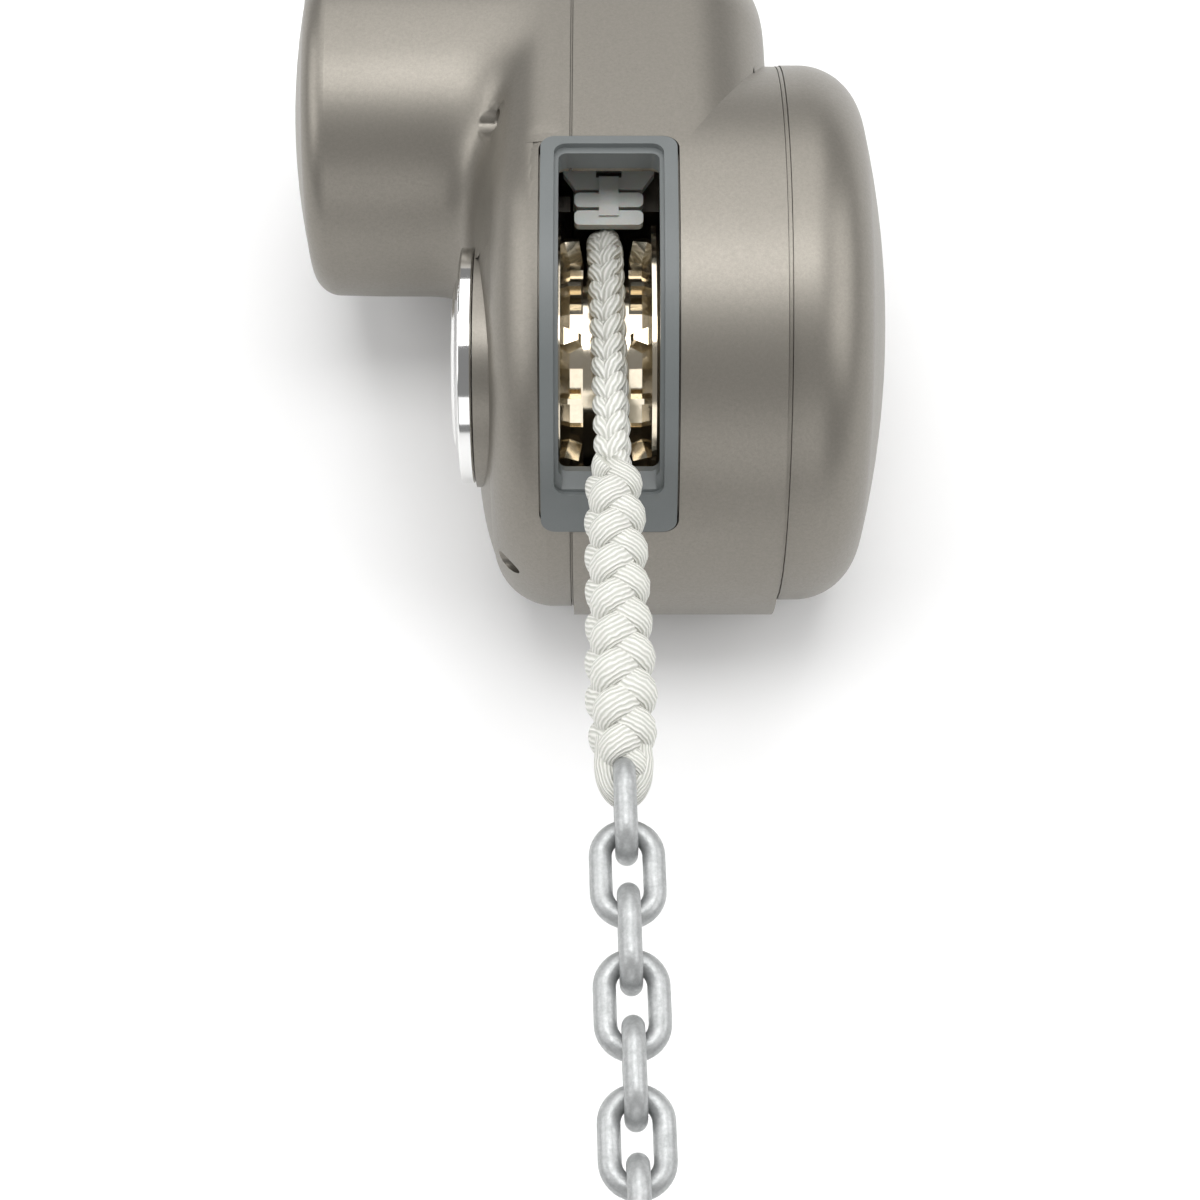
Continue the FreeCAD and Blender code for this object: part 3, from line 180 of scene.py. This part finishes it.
def add(tree, kind, settings=None, **sockets):
    """A node with its plain settings and unlinked sockets filled in."""
    node = tree.nodes.new(kind)
    for key, value in (settings or {}).items():
        setattr(node, key, value)
    for key, value in sockets.items():
        node.inputs[key.replace("_", " ")].default_value = value
    return node


def new_material(name):
    """A material with its node tree and its shader."""
    made = bpy.data.materials.new(name)
    made.use_nodes = True
    return made, made.node_tree, made.node_tree.nodes["Principled BSDF"]


def noise_group():
    """Mottling: a slow cloud and a fine grain, both from 0 to 1, and the bump of the grain."""
    tree, start, end = new_group(
        "Mottle",
        [
            ("Cloud scale", "NodeSocketFloat", 40.0),
            ("Grain scale", "NodeSocketFloat", 1500.0),
            ("Grain depth", "NodeSocketFloat", 0.05),
        ],
        [
            ("Cloud", "NodeSocketFloat"),
            ("Grain", "NodeSocketFloat"),
            ("Normal", "NodeSocketVector"),
        ],
    )
    where = add(tree, "ShaderNodeTexCoord")
    cloud = add(tree, "ShaderNodeTexNoise", Detail=3.0, Roughness=0.6)
    grain = add(tree, "ShaderNodeTexNoise", Detail=2.0, Roughness=0.7)
    bump = add(tree, "ShaderNodeBump", Distance=0.0002)
    link = tree.links.new
    link(where.outputs["Object"], cloud.inputs["Vector"])
    link(where.outputs["Object"], grain.inputs["Vector"])
    link(start.outputs["Cloud scale"], cloud.inputs["Scale"])
    link(start.outputs["Grain scale"], grain.inputs["Scale"])
    link(grain.outputs["Fac"], bump.inputs["Height"])
    link(start.outputs["Grain depth"], bump.inputs["Strength"])
    link(cloud.outputs["Fac"], end.inputs["Cloud"])
    link(grain.outputs["Fac"], end.inputs["Grain"])
    link(bump.outputs["Normal"], end.inputs["Normal"])
    return tree


MOTTLE = noise_group()


def material(name, colour, other, metallic, rough, rough_other,
             cloud=40.0, grain=1500.0, depth=0.05, **extra):
    """A surface that runs between two colours and two roughnesses with the mottling."""
    made, tree, shader = new_material(name)
    shader.inputs["Metallic"].default_value = metallic
    for key, value in extra.items():
        shader.inputs[key.replace("_", " ")].default_value = value
    mottle = add(tree, "ShaderNodeGroup", {"node_tree": MOTTLE})
    mottle.inputs["Cloud scale"].default_value = cloud
    mottle.inputs["Grain scale"].default_value = grain
    mottle.inputs["Grain depth"].default_value = depth
    blend = add(tree, "ShaderNodeMix", Factor=0.5)
    spread = add(tree, "ShaderNodeMapRange", From_Min=0.3, From_Max=0.7)
    tint = add(tree, "ShaderNodeMix", {"data_type": "RGBA"})
    tint.inputs["A"].default_value = (*colour, 1.0)
    tint.inputs["B"].default_value = (*other, 1.0)
    dull = add(tree, "ShaderNodeMapRange", To_Min=rough, To_Max=rough_other)
    link = tree.links.new
    link(mottle.outputs["Cloud"], blend.inputs["A"])
    link(mottle.outputs["Grain"], blend.inputs["B"])
    link(blend.outputs["Result"], spread.inputs["Value"])
    link(spread.outputs["Result"], tint.inputs["Factor"])
    link(spread.outputs["Result"], dull.inputs["Value"])
    link(tint.outputs["Result"], shader.inputs["Base Color"])
    link(dull.outputs["Result"], shader.inputs["Roughness"])
    link(mottle.outputs["Normal"], shader.inputs["Normal"])
    return made


# %% [markdown]
# ## Materials
# The casings are satin warm grey metallic paint with a fine speckle.
# The clutch cap is a mirror, and the gypsy is polished nickel bronze, a little warmer.
# The galvanised links are mottled, and the window frame is satin plastic.

# %% Materials of the CAD pieces
paint = material(
    "casing_paint", (0.265, 0.247, 0.216), (0.215, 0.20, 0.174), 0.72, 0.36, 0.44,
    cloud=900.0, grain=2600.0, depth=0.12,
)
frame_plastic = material(
    "frame_plastic", (0.138, 0.150, 0.150), (0.122, 0.134, 0.134), 0.0, 0.38, 0.46,
    cloud=60.0, grain=2200.0, depth=0.10,
)
rubber = material(
    "rubber", (0.018, 0.018, 0.018), (0.012, 0.012, 0.012), 0.0, 0.6, 0.75, depth=0.1,
)
mirror = material(
    "polished_stainless", (0.83, 0.83, 0.82), (0.80, 0.80, 0.79), 1.0, 0.06, 0.10,
    cloud=30.0, grain=600.0, depth=0.01,
)
stainless = material(
    "stainless", (0.62, 0.62, 0.61), (0.56, 0.56, 0.55), 1.0, 0.24, 0.34, depth=0.05,
)
nickel = material(
    "nickel_bronze", (0.80, 0.72, 0.58), (0.74, 0.65, 0.50), 1.0, 0.09, 0.16,
    cloud=45.0, grain=500.0, depth=0.05,
)
# The white nylon's grey colour is painted shade: the pressure finger it covers sits in the housing's shade.
nylon = material(
    "white_nylon", (0.60, 0.61, 0.58), (0.55, 0.56, 0.53), 0.0, 0.30, 0.40, depth=0.05,
    Subsurface_Weight=0.35, Subsurface_Scale=0.004,
)
galvanised = material(
    "galvanised", (0.50, 0.51, 0.51), (0.35, 0.36, 0.36), 0.70, 0.36, 0.55,
    cloud=260.0, grain=900.0, depth=0.40,
)
bronze = material("bronze", (0.60, 0.44, 0.22), (0.52, 0.37, 0.18), 1.0, 0.26, 0.36)
steel = material("ground_steel", (0.50, 0.50, 0.51), (0.44, 0.44, 0.45), 1.0, 0.22, 0.34)
plated = material("plated_steel", (0.52, 0.52, 0.49), (0.44, 0.44, 0.41), 0.9, 0.34, 0.46)
aluminium = material(
    "cast_aluminium", (0.56, 0.56, 0.56), (0.48, 0.48, 0.48), 0.9, 0.40, 0.52, depth=0.3,
)
iron = material(
    "laminated_iron", (0.08, 0.08, 0.08), (0.05, 0.05, 0.05), 0.6, 0.45, 0.60, depth=0.2,
)
carbon = material("carbon", (0.03, 0.03, 0.03), (0.05, 0.05, 0.05), 0.2, 0.5, 0.6)
copper = material("copper", (0.72, 0.38, 0.24), (0.62, 0.32, 0.20), 1.0, 0.24, 0.34)
black_nylon = material("black_nylon", (0.02, 0.02, 0.02), (0.03, 0.03, 0.03), 0.0, 0.4, 0.5)

LOOKS = {
    "casing_paint": paint,
    "frame_plastic": frame_plastic,
    "rubber": rubber,
    "stainless": stainless,
    "polished_stainless": mirror,
    "nickel_bronze": nickel,
    "bronze": bronze,
    "black_nylon": black_nylon,
    "white_nylon": nylon,
    "bearing_steel": steel,
    "gear_steel": steel,
    "plated_steel": plated,
    "raw_aluminium": aluminium,
    "ferrite": iron,
    "carbon": carbon,
    "copper": copper,
    "rope_fibre": nylon,
    "galvanised": galvanised,
}
for entry in frame["record"]["subparts"]:
    mesh = nodes[entry["node"]].data
    mesh.materials.clear()
    mesh.materials.append(LOOKS[entry["material_slot"]])

# %% New meshes


def mesh_object(name, bm, look):
    """An object with a bmesh's faces and one material."""
    mesh = bpy.data.meshes.new(name)
    bmesh.ops.recalc_face_normals(bm, faces=bm.faces)
    bm.to_mesh(mesh)
    bm.free()
    made = bpy.data.objects.new(name, mesh)
    bpy.context.collection.objects.link(made)
    mesh.materials.append(look)
    return made


# %% [markdown]
# ## Foot of the motor barrel
# The barrel grows out of the side shell through a wide cast radius.
# It is drawn here as a skin over the corner.
# The shell is remeshed evenly and relaxed with outward moves only.
# That fills the hollows, and no edge sinks.
# A small lift and a short even smoothing then round the edges.
# The skin fades into the shell at its border.
# The screw recess stays open: its rim follows the skin and gets a wall of its own.

# %% Sizes of the skin
# The fill is this many blocks of rounds, with fresh normals after each block.
VOXEL = 0.0014
FILL_BLOCKS, FILL_ROUNDS, FILL_STEP = 4, 50, 0.7
EVEN_ROUNDS, EVEN_STEP = 14, 0.5
LIFT = 0.0004

# Each fade gives the place where the skin ends and the place where it is whole.
# The frame's angle is measured round the drum from the bow, in degrees.
SEAM_FADE_X = (-0.0140, -0.0200)
BOW_FADE_Y = (0.000, 0.012)
FOOT_FADE_Z = (0.012, 0.024)
END_FADE_X = (-0.1, -0.08)
FRAME_FADE_X = (-0.0235, -0.0270)
FRAME_FADE_DEG = (109.8, 113.0)
DRUM_Z = 0.072

# A vertex is outside when a ray of this length from just above it is free in one of three directions.
FREE_AIR, OFF_SURFACE = 0.07, 0.0006
UP, LEFTWARDS = Vector((0, 0, 1)), Vector((-1, 0, 0))

# The screw recess: its axis in Y and Z, its radius, the depth of its wall and how far left its rim can be.
# Border vertices within this many radii of the axis belong to its rim.
RECESS, RECESS_R = (0.04997, 0.14444), 0.0042
RECESS_WALL, RECESS_END = 0.014, -0.060
RIM_REACH = 2.6

# The side shell's round and the barrel's, each by its centre in Y and Z, which the flanks join.
# The bar under a flank's shoulder has four corners, each given by its X and its depth.
SHELL_AT, SHELL_R = Vector((0.001405, 0.072655)), 0.0969
MOTOR_AT, BARREL_R = Vector((0.0823, 0.0840)), 0.0620
SHOULDER = [(-0.0356, 0.0087), (-0.0310, 0.0039), (-0.0310, 0.0075), (-0.0356, 0.0115)]

# %% Skin over the barrel's foot


def flank_lines():
    """Each straight flank's two ends, at the side shell and the barrel, and its outward direction."""
    run = MOTOR_AT - SHELL_AT
    lean = math.acos((SHELL_R - BARREL_R) / run.length)
    for side in (-1, 1):
        a = math.atan2(run.y, run.x) + side * lean
        out = Vector((math.cos(a), math.sin(a)))
        yield SHELL_AT + out * SHELL_R, MOTOR_AT + out * BARREL_R, out


def add_shoulder_bars(mesh):
    """Closes the shell where it is thinnest, just under each flank's rounded shoulder."""
    bm = bmesh.new()
    bm.from_mesh(mesh)
    for first, last, out in flank_lines():
        ends = []
        for place in (first, last):
            ring = []
            for x, depth in SHOULDER:
                spot = place - out * depth
                ring.append(bm.verts.new((x, spot.x, spot.y)))
            ends.append(ring)
        bmesh.ops.convex_hull(bm, input=ends[0] + ends[1])
    bm.to_mesh(mesh)
    bm.free()


def remeshed(source):
    """An evenly meshed copy of a node's mesh."""
    copy = bpy.data.objects.new("even_shell", source.data.copy())
    add_shoulder_bars(copy.data)
    bpy.context.collection.objects.link(copy)
    even = copy.modifiers.new("even", "REMESH")
    even.mode = "VOXEL"
    even.voxel_size = VOXEL
    graph = bpy.context.evaluated_depsgraph_get()
    mesh = bpy.data.meshes.new_from_object(copy.evaluated_get(graph))
    bpy.data.objects.remove(copy)
    return mesh


def ramp(value, low, high):
    """0 at low, 1 at high and a smooth rise between, also where high is the smaller."""
    share = np.clip((value - low) / (high - low), 0.0, 1.0)
    return share * share * (3 - 2 * share)


def skin_weight(place, normals, source):
    """1 where the skin is free, 0 on the seam, the window, the foot and the inside of the shell."""
    x, y, z = place.T
    around = np.degrees(np.arctan2(z - DRUM_Z, -y))
    weight = ramp(x, *SEAM_FADE_X) * ramp(y, *BOW_FADE_Y) * ramp(z, *FOOT_FADE_Z) * ramp(x, *END_FADE_X)
    weight *= np.maximum(ramp(around, *FRAME_FADE_DEG), ramp(x, *FRAME_FADE_X))
    for k in np.nonzero(weight)[0]:
        out = Vector(normals[k])
        start = Vector(place[k]) + out * OFF_SURFACE
        if all(source.ray_cast(start, way, distance=FREE_AIR)[0] for way in (out, UP, LEFTWARDS)):
            weight[k] = 0.0
    return weight


def step_to_neighbours(place, ends):
    """From each vertex to the mean of its neighbours."""
    total = np.zeros_like(place)
    number = np.zeros(len(place))
    for a, b in ((0, 1), (1, 0)):
        np.add.at(total, ends[:, a], place[ends[:, b]])
        np.add.at(number, ends[:, a], 1.0)
    lonely = number == 0
    number[lonely] = 1.0
    total[lonely] = place[lonely]
    return total / number[:, None] - place


def rows(items, attribute, width, kind):
    """An attribute of all the vertices or edges, one row for each."""
    values = np.empty(len(items) * width, dtype=kind)
    items.foreach_get(attribute, values)
    return values.reshape(-1, width)


def vertex_normals(mesh):
    return np.array([v.normal[:] for v in mesh.vertices])


def relax(mesh, place, weight, ends):
    """Fills the hollows with outward moves only, then lifts the skin and smooths it evenly."""
    normals = vertex_normals(mesh)
    for _ in range(FILL_BLOCKS):
        for _ in range(FILL_ROUNDS):
            step = step_to_neighbours(place, ends)
            hollow = np.einsum("ij,ij->i", step, normals) > 0.0
            place += step * (FILL_STEP * weight * hollow)[:, None]
        mesh.vertices.foreach_set("co", place.ravel())
        mesh.update()
        normals = vertex_normals(mesh)
    place += normals * (LIFT * weight)[:, None]
    for _ in range(EVEN_ROUNDS):
        place += step_to_neighbours(place, ends) * (EVEN_STEP * weight)[:, None]


def wall_recess(bm):
    """Draws the skin's border in to the screw recess and gives the recess its wall."""
    rim = set()
    for v in bm.verts:
        away = Vector((0.0, v.co.y - RECESS[0], v.co.z - RECESS[1]))
        if v.is_boundary and away.length < RECESS_R * RIM_REACH and v.co.x > RECESS_END:
            v.co += away.normalized() * (RECESS_R - away.length)
            rim.add(v)
    edges = [e for e in bm.edges if e.is_boundary and rim.issuperset(e.verts)]
    for part in bmesh.ops.extrude_edge_only(bm, edges=edges)["geom"]:
        if isinstance(part, bmesh.types.BMVert):
            part.co.x += RECESS_WALL


def skin_mesh(name, source, look):
    """The relaxed shell as an object, without the vertices that have no weight."""
    mesh = remeshed(source)
    place = rows(mesh.vertices, "co", 3, float)
    ends = rows(mesh.edges, "vertices", 2, np.int64)
    weight = skin_weight(place, vertex_normals(mesh), source)
    bore = np.hypot(place[:, 1] - RECESS[0], place[:, 2] - RECESS[1]) < RECESS_R
    weight[bore] = 0.0
    near = (weight[ends].max(axis=1) > 0) & ~bore[ends].any(axis=1)
    relax(mesh, place, weight, ends[near])
    bm = bmesh.new()
    bm.from_mesh(mesh)
    bpy.data.meshes.remove(mesh)
    for v in bm.verts:
        v.co = place[v.index]
    bare = [v for v in bm.verts if weight[v.index] <= 0.0]
    bmesh.ops.delete(bm, geom=bare, context="VERTS")
    wall_recess(bm)
    for face in bm.faces:
        face.smooth = True
    return mesh_object(name, bm, look)


foot = skin_mesh("barrel_foot", nodes["left_casing"], paint)
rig.ride(foot, "housing")

# %% [markdown]
# ## The rode
# Eight strands are plaited into the rope, four to each hand.
# Every strand swings out where it passes over the other hand and in where it passes under.
# The splice has the same plait with four broad strands, and it ends in an eye round the first link.

# %% Rope fibre
# How far the yarns wander, in yarns, and the fuzz's share of their height.
WANDER, FUZZ = 0.9, 0.50


def fibre_material():
    """White nylon yarn: the strand's own UV carries the yarns, which run at an angle to it."""
    made, tree, shader = new_material("rope_yarn")
    shader.inputs["Roughness"].default_value = 0.45
    shader.inputs["Subsurface Weight"].default_value = 0.06
    shader.inputs["Subsurface Scale"].default_value = 0.0012
    shader.inputs["Subsurface Radius"].default_value = (1.0, 0.95, 0.9)
    uv = add(tree, "ShaderNodeUVMap", {"uv_map": "Yarn"})
    split = add(tree, "ShaderNodeSeparateXYZ")
    turn = add(tree, "ShaderNodeMath", {"operation": "MULTIPLY"})
    turn.inputs[1].default_value = 2 * math.pi
    wave = add(tree, "ShaderNodeMath", {"operation": "COSINE"})
    where = add(tree, "ShaderNodeTexCoord")
    fuzz = add(tree, "ShaderNodeTexNoise", Scale=2600.0, Detail=3.0, Roughness=0.7)
    lift = add(tree, "ShaderNodeMapRange", From_Min=-1.0, From_Max=1.0)
    height = add(tree, "ShaderNodeMath", {"operation": "MULTIPLY_ADD"})
    height.inputs[1].default_value = FUZZ
    bump = add(tree, "ShaderNodeBump", Strength=0.75, Distance=0.0006)
    # Painted shade: the grooves between the yarns take the grey-green colour A and the crests the near-white B, on the
    # same wave as the bump.
    tint = add(tree, "ShaderNodeMix", {"data_type": "RGBA"})
    tint.inputs["A"].default_value = (0.56, 0.565, 0.51, 1.0)
    tint.inputs["B"].default_value = (0.87, 0.865, 0.82, 1.0)
    drift = add(tree, "ShaderNodeTexNoise", Scale=260.0, Detail=1.0)
    wander = add(tree, "ShaderNodeMath", {"operation": "MULTIPLY_ADD"})
    wander.inputs[1].default_value = WANDER
    link = tree.links.new
    link(uv.outputs["UV"], split.inputs["Vector"])
    link(where.outputs["Object"], drift.inputs["Vector"])
    link(drift.outputs["Fac"], wander.inputs[0])
    link(split.outputs["X"], wander.inputs[2])
    link(wander.outputs["Value"], turn.inputs[0])
    link(turn.outputs["Value"], wave.inputs[0])
    link(wave.outputs["Value"], lift.inputs["Value"])
    link(where.outputs["Object"], fuzz.inputs["Vector"])
    link(fuzz.outputs["Fac"], height.inputs[0])
    link(lift.outputs["Result"], height.inputs[2])
    link(height.outputs["Value"], bump.inputs["Height"])
    link(lift.outputs["Result"], tint.inputs["Factor"])
    link(tint.outputs["Result"], shader.inputs["Base Color"])
    link(bump.outputs["Normal"], shader.inputs["Normal"])
    return made


yarn = fibre_material()

# %% [markdown]
# ### Route
# The route's points are the model's own, and the rode follows the NURBS curve that they steer.
# It comes up from the deck pipe, bends over the gypsy and leaves it a little upwards and towards +X.

# %% Route
# The rope's two straights would meet at the corner, and its bend starts this far back on each.
RISE, DRIFT = math.radians(4.5), math.radians(1.7)
AHEAD = Vector((math.sin(DRIFT), -math.cos(DRIFT) * math.cos(RISE), math.sin(RISE)))
CORNER = Vector((-0.0006, 0.017, 0.138977))
BACK = 0.036978
SPLICE_START, SPLICE_LENGTH = 0.061, 0.118
ROUTE_STEPS = 40


def on_rode(distance):
    """A place on the taut run, by its distance from where the rope leaves the gypsy."""
    return CORNER + AHEAD * (BACK + distance)


ROPE_ROUTE = [
    Vector((-0.0006, 0.017, 0.001)),
    CORNER - Vector((0, 0, 2 * BACK)),
    CORNER,
    CORNER + AHEAD * 2 * BACK,
    on_rode(SPLICE_START),
]
SPLICE_ROUTE = [
    on_rode(SPLICE_START),
    on_rode(SPLICE_START + SPLICE_LENGTH / 2),
    on_rode(SPLICE_START + SPLICE_LENGTH),
]


def route_points(name, points):
    """Close points along a route's NURBS curve."""
    curve = bpy.data.curves.new(name, "CURVE")
    curve.dimensions = "3D"
    curve.resolution_u = ROUTE_STEPS
    spline = curve.splines.new("NURBS")
    spline.points.add(len(points) - 1)
    for place, point in zip(spline.points, points):
        place.co = (*point, 1.0)
    spline.order_u = 3
    spline.use_endpoint_u = True
    holder = bpy.data.objects.new(name, curve)
    bpy.context.collection.objects.link(holder)
    mesh = bpy.data.meshes.new_from_object(holder)
    found = [v.co.copy() for v in mesh.vertices]
    bpy.data.objects.remove(holder)
    bpy.data.meshes.remove(mesh)
    bpy.data.curves.remove(curve)
    return found


class Line:
    """A path with its length, and with its up and side directions at each distance."""

    def __init__(self, points):
        self.points = points
        self.at = [0.0]
        for a, b in zip(points, points[1:]):
            self.at.append(self.at[-1] + (b - a).length)
        self.length = self.at[-1]

    def frame(self, distance):
        """The place at a distance along the line, with its up and side directions."""
        distance = min(max(distance, 0.0), self.length)
        low = 0
        while low < len(self.at) - 2 and self.at[low + 1] < distance:
            low += 1
        a, b = self.points[low], self.points[low + 1]
        along = (b - a).normalized()
        place = a + along * (distance - self.at[low])
        up = along.cross(Vector((1, 0, 0))).normalized()
        return place, up, up.cross(along).normalized()


def sweep(bm, rings, uv_layer, uvs):
    """A closed tube through rings of vertices, with a fan at each end."""
    made = [[bm.verts.new(p) for p in ring] for ring in rings]
    count = len(made[0])
    for i in range(len(made) - 1):
        for k in range(count):
            n = (k + 1) % count
            face = bm.faces.new((made[i][k], made[i][n], made[i + 1][n], made[i + 1][k]))
            face.smooth = True
            corners = [(i, k), (i, k + 1), (i + 1, k + 1), (i + 1, k)]
            for loop, (row, column) in zip(face.loops, corners):
                loop[uv_layer].uv = uvs(row, column)
    for ring, flip in ((made[0], True), (made[-1], False)):
        middle = bm.verts.new(sum((v.co for v in ring), Vector()) / count)
        for k in range(count):
            a, b = ring[k], ring[(k + 1) % count]
            face = bm.faces.new((middle, b, a) if flip else (middle, a, b))
            face.smooth = True


def strand_rings(path, half_wide, half_thick, around):
    """Rings of an oval strand along a path of places, each with its outward direction and size."""
    rings = []
    for i, (place, outward, size) in enumerate(path):
        before = path[max(i - 1, 0)][0]
        after = path[min(i + 1, len(path) - 1)][0]
        along = (after - before).normalized()
        side = along.cross(outward).normalized()
        out = side.cross(along).normalized()
        ring = []
        for k in range(around):
            a = 2 * math.pi * k / around
            across = side * (half_wide * size * math.cos(a))
            ring.append(place + across + out * (half_thick * size * math.sin(a)))
        rings.append(ring)
    return rings


def yarn_uvs(twist, around, advance):
    """UVs whose U counts the yarns: twist of them round the strand, moved on by each ring."""

    def uvs(row, column):
        return twist * column / around + advance * row, row / 10

    return uvs


def plait(bm, uv_layer, line, until, pitch, per_hand, mean_r, swing, half_wide, half_thick,
          face_deg, yarns, yarn_pitch, step, scale, around=18):
    """Strands of both hands, each passing over on its own pair of faces and under on the other pair.

    With four strands to a hand, the two hands start an eighth of a turn apart.
    """
    turn = 2 * math.pi / pitch
    face = math.radians(face_deg)
    apart = math.pi / 8 if per_hand == 4 else 0.0
    steps = int(until / step)
    for hand in (-1, 1):
        for number in range(per_hand):
            first = 2 * math.pi * number / per_hand
            if hand == 1:
                first += 2 * apart
            path = []
            for i in range(steps + 1):
                s = until * i / steps
                place, up, side = line.frame(s)
                size = scale(s)
                angle = hand * turn * s + first + apart + face
                over = math.cos(2 * (angle - face))
                r = (mean_r - hand * swing * over) * size
                outward = up * math.cos(angle) + side * math.sin(angle)
                path.append((place + outward * r, outward, size))
            rings = strand_rings(path, half_wide, half_thick, around)
            reach = until / steps
            sweep(bm, rings, uv_layer, yarn_uvs(hand * yarns, around, yarns * reach / yarn_pitch))


# %% Plaited rope
rope_points = route_points("rope_route", ROPE_ROUTE)
rope_line = Line(rope_points)
bm = bmesh.new()
layer = bm.loops.layers.uv.new("Yarn")
plait(
    bm, layer, rope_line, rope_line.length, pitch=0.0295, per_hand=4, mean_r=0.0030, swing=0.0014,
    half_wide=0.0029, half_thick=0.0021, face_deg=25.0, yarns=9, yarn_pitch=0.022,
    step=0.0009, scale=lambda s: 1.0,
)
plaited = mesh_object("plaited_rope", bm, yarn)
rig.replaces(plaited, "rope")
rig.ride(plaited, "housing")

# %% Splice
# The plait's size at distances along the splice.
SWELL = [(0.0, 0.86), (0.012, 1.04), (0.045, 1.10), (0.080, 1.20), (0.095, 1.12), (0.110, 0.80)]
PLAIT_END = SWELL[-1][0]

# The eye's legs part from narrow to wide between its start and its bend.
# The bend bulges on through the link.
EYE_START, EYE_BEND, EYE_BULGE = 0.088, 0.104, 0.0108
EYE_NARROW, EYE_WIDE = 0.0046, 0.0058
EYE_LEVELS = (-0.0023, 0.0023)
EYE_STEPS, EYE_AROUND, EYE_YARNS = 12, 20, 18
splice_line = Line(route_points("splice_route", SPLICE_ROUTE))


def splice_size(s):
    """The plait's size at a distance, with a smooth change between the listed ones."""
    for (a, low), (b, high) in zip(SWELL, SWELL[1:]):
        if s <= b:
            share = (s - a) / (b - a)
            return low + (high - low) * share * share * (3 - 2 * share)
    return SWELL[-1][1]


def eye_path(level):
    """The way of one strand of the eye: down one side, through the first link and back up the other."""
    leg = []
    for k in range(EYE_STEPS + 1):
        share = k / EYE_STEPS
        lateral = EYE_NARROW + (EYE_WIDE - EYE_NARROW) * share
        leg.append((lateral, EYE_START + (EYE_BEND - EYE_START) * share))
    places = [(-lateral, s) for lateral, s in leg]
    for k in range(1, 2 * EYE_STEPS):
        a = math.pi * (1 - k / (2 * EYE_STEPS))
        places.append((EYE_WIDE * math.cos(a), EYE_BEND + EYE_BULGE * math.sin(a)))
    places += reversed(leg)
    path = []
    for lateral, s in places:
        place, up, side = splice_line.frame(s)
        path.append((place + side * lateral + up * level, up, 1.0))
    return path


bm = bmesh.new()
layer = bm.loops.layers.uv.new("Yarn")
plait(
    bm, layer, splice_line, PLAIT_END, pitch=0.0250, per_hand=2, mean_r=0.0047, swing=0.0023,
    half_wide=0.0050, half_thick=0.0031, face_deg=-28.0, yarns=20, yarn_pitch=0.075,
    step=0.0009, scale=splice_size, around=24,
)
for level in EYE_LEVELS:
    strand = strand_rings(eye_path(level), half_wide=0.0035, half_thick=0.0027, around=EYE_AROUND)
    sweep(bm, strand, layer, yarn_uvs(EYE_YARNS, EYE_AROUND, advance=0.10))
spliced = mesh_object("plaited_splice", bm, yarn)
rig.replaces(spliced, "rope_splice")
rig.ride(spliced, "housing")

# %% [markdown]
# ### Declared cords
# The rope leaves the deck pipe and ends at the splice.
# The splice carries the chain, which runs taut to its shackle.

# %% Cords
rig.cord(
    plaited, exit=ROPE_ROUTE[0], length=rope_line.length, diameter=0.0135, far_end="knot",
    stiffness="medium", lay="taut", path=rope_points,
)
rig.cord(
    spliced, exit=SPLICE_ROUTE[0], length=splice_line.length, diameter=0.0190, far_end="fitting",
    stiffness="stiff", lay="taut", path=splice_line.points,
    with_pieces=["chain_links", "shackle_bow", "shackle_pin"],
)

# %% [markdown]
# ## Floor, light and camera
# The floor is pale, and the broad light is overhead.
# Weaker ones stand behind, low in front and on each side.
# The camera looks down on the bow side, as in the photograph.

# %% Floor
bm = bmesh.new()
bmesh.ops.create_grid(bm, x_segments=1, y_segments=1, size=4.0)
floor_look = material(
    "floor", (0.93, 0.93, 0.93), (0.92, 0.92, 0.92), 0.0, 0.6, 0.7,
    cloud=2.0, grain=30.0, depth=0.0,
)
floor = mesh_object("floor", bm, floor_look)
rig.stage(floor)

# %% Light
AIM = Vector((0, 0, 0.12))


def panel(name, place, wide, high, power):
    """A soft rectangular light aimed at the object."""
    light = bpy.data.lights.new(name, "AREA")
    light.shape = "RECTANGLE"
    light.size = wide
    light.size_y = high
    light.energy = power
    made = bpy.data.objects.new(name, light)
    made.location = place
    made.rotation_euler = (AIM - Vector(place)).to_track_quat("-Z", "Y").to_euler()
    bpy.context.collection.objects.link(made)
    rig.stage(made)


def arc_panel(name, low, high, far, wide, radiance):
    """A panel over the object that spans these angles, from the bow horizon over the top to the stern."""
    middle, half = math.radians((low + high) / 2), math.radians((high - low) / 2)
    tall = 2 * far * math.tan(half)
    place = (0.0, -far * math.cos(middle), 0.12 + far * math.sin(middle))
    panel(name, place, wide, tall, radiance * math.pi * wide * tall)


arc_panel("overhead", low=84, high=104, far=1.9, wide=1.5, radiance=5.0)
arc_panel("back", low=104, high=157, far=1.9, wide=1.7, radiance=1.8)
arc_panel("front", low=6, high=34, far=2.2, wide=2.2, radiance=1.2)
for side, name in ((-1, "left"), (1, "right")):
    panel(name, (side * 1.9, 0.1, 1.5), wide=2.4, high=1.5, power=26.0)
world = bpy.data.worlds.new("studio")
world.use_nodes = True
sky = world.node_tree.nodes["Background"].inputs
sky["Color"].default_value = (0.80, 0.80, 0.80, 1.0)
sky["Strength"].default_value = 0.32
bpy.context.scene.world = world

# %% Camera
CAMERA_AT = (-0.002, -0.4376, 0.9933)
LOOK_DOWN = math.radians(69.84)
lens = bpy.data.cameras.new("camera")
lens.lens = 84.0
lens.sensor_width = 36.0
lens.clip_start = 0.01
camera = bpy.data.objects.new("camera", lens)
camera.location = CAMERA_AT
ahead = Vector((0, math.cos(LOOK_DOWN), -math.sin(LOOK_DOWN)))
camera.rotation_euler = ahead.to_track_quat("-Z", "Y").to_euler()
bpy.context.collection.objects.link(camera)
bpy.context.scene.camera = camera
bpy.context.scene.view_settings.view_transform = "Standard"

# %% Size and end
with open("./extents.json", "w") as out:
    boxes = {"cad": [list(p) for p in cad_box], "visual": [list(p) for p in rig.bounds()]}
    json.dump(boxes, out)
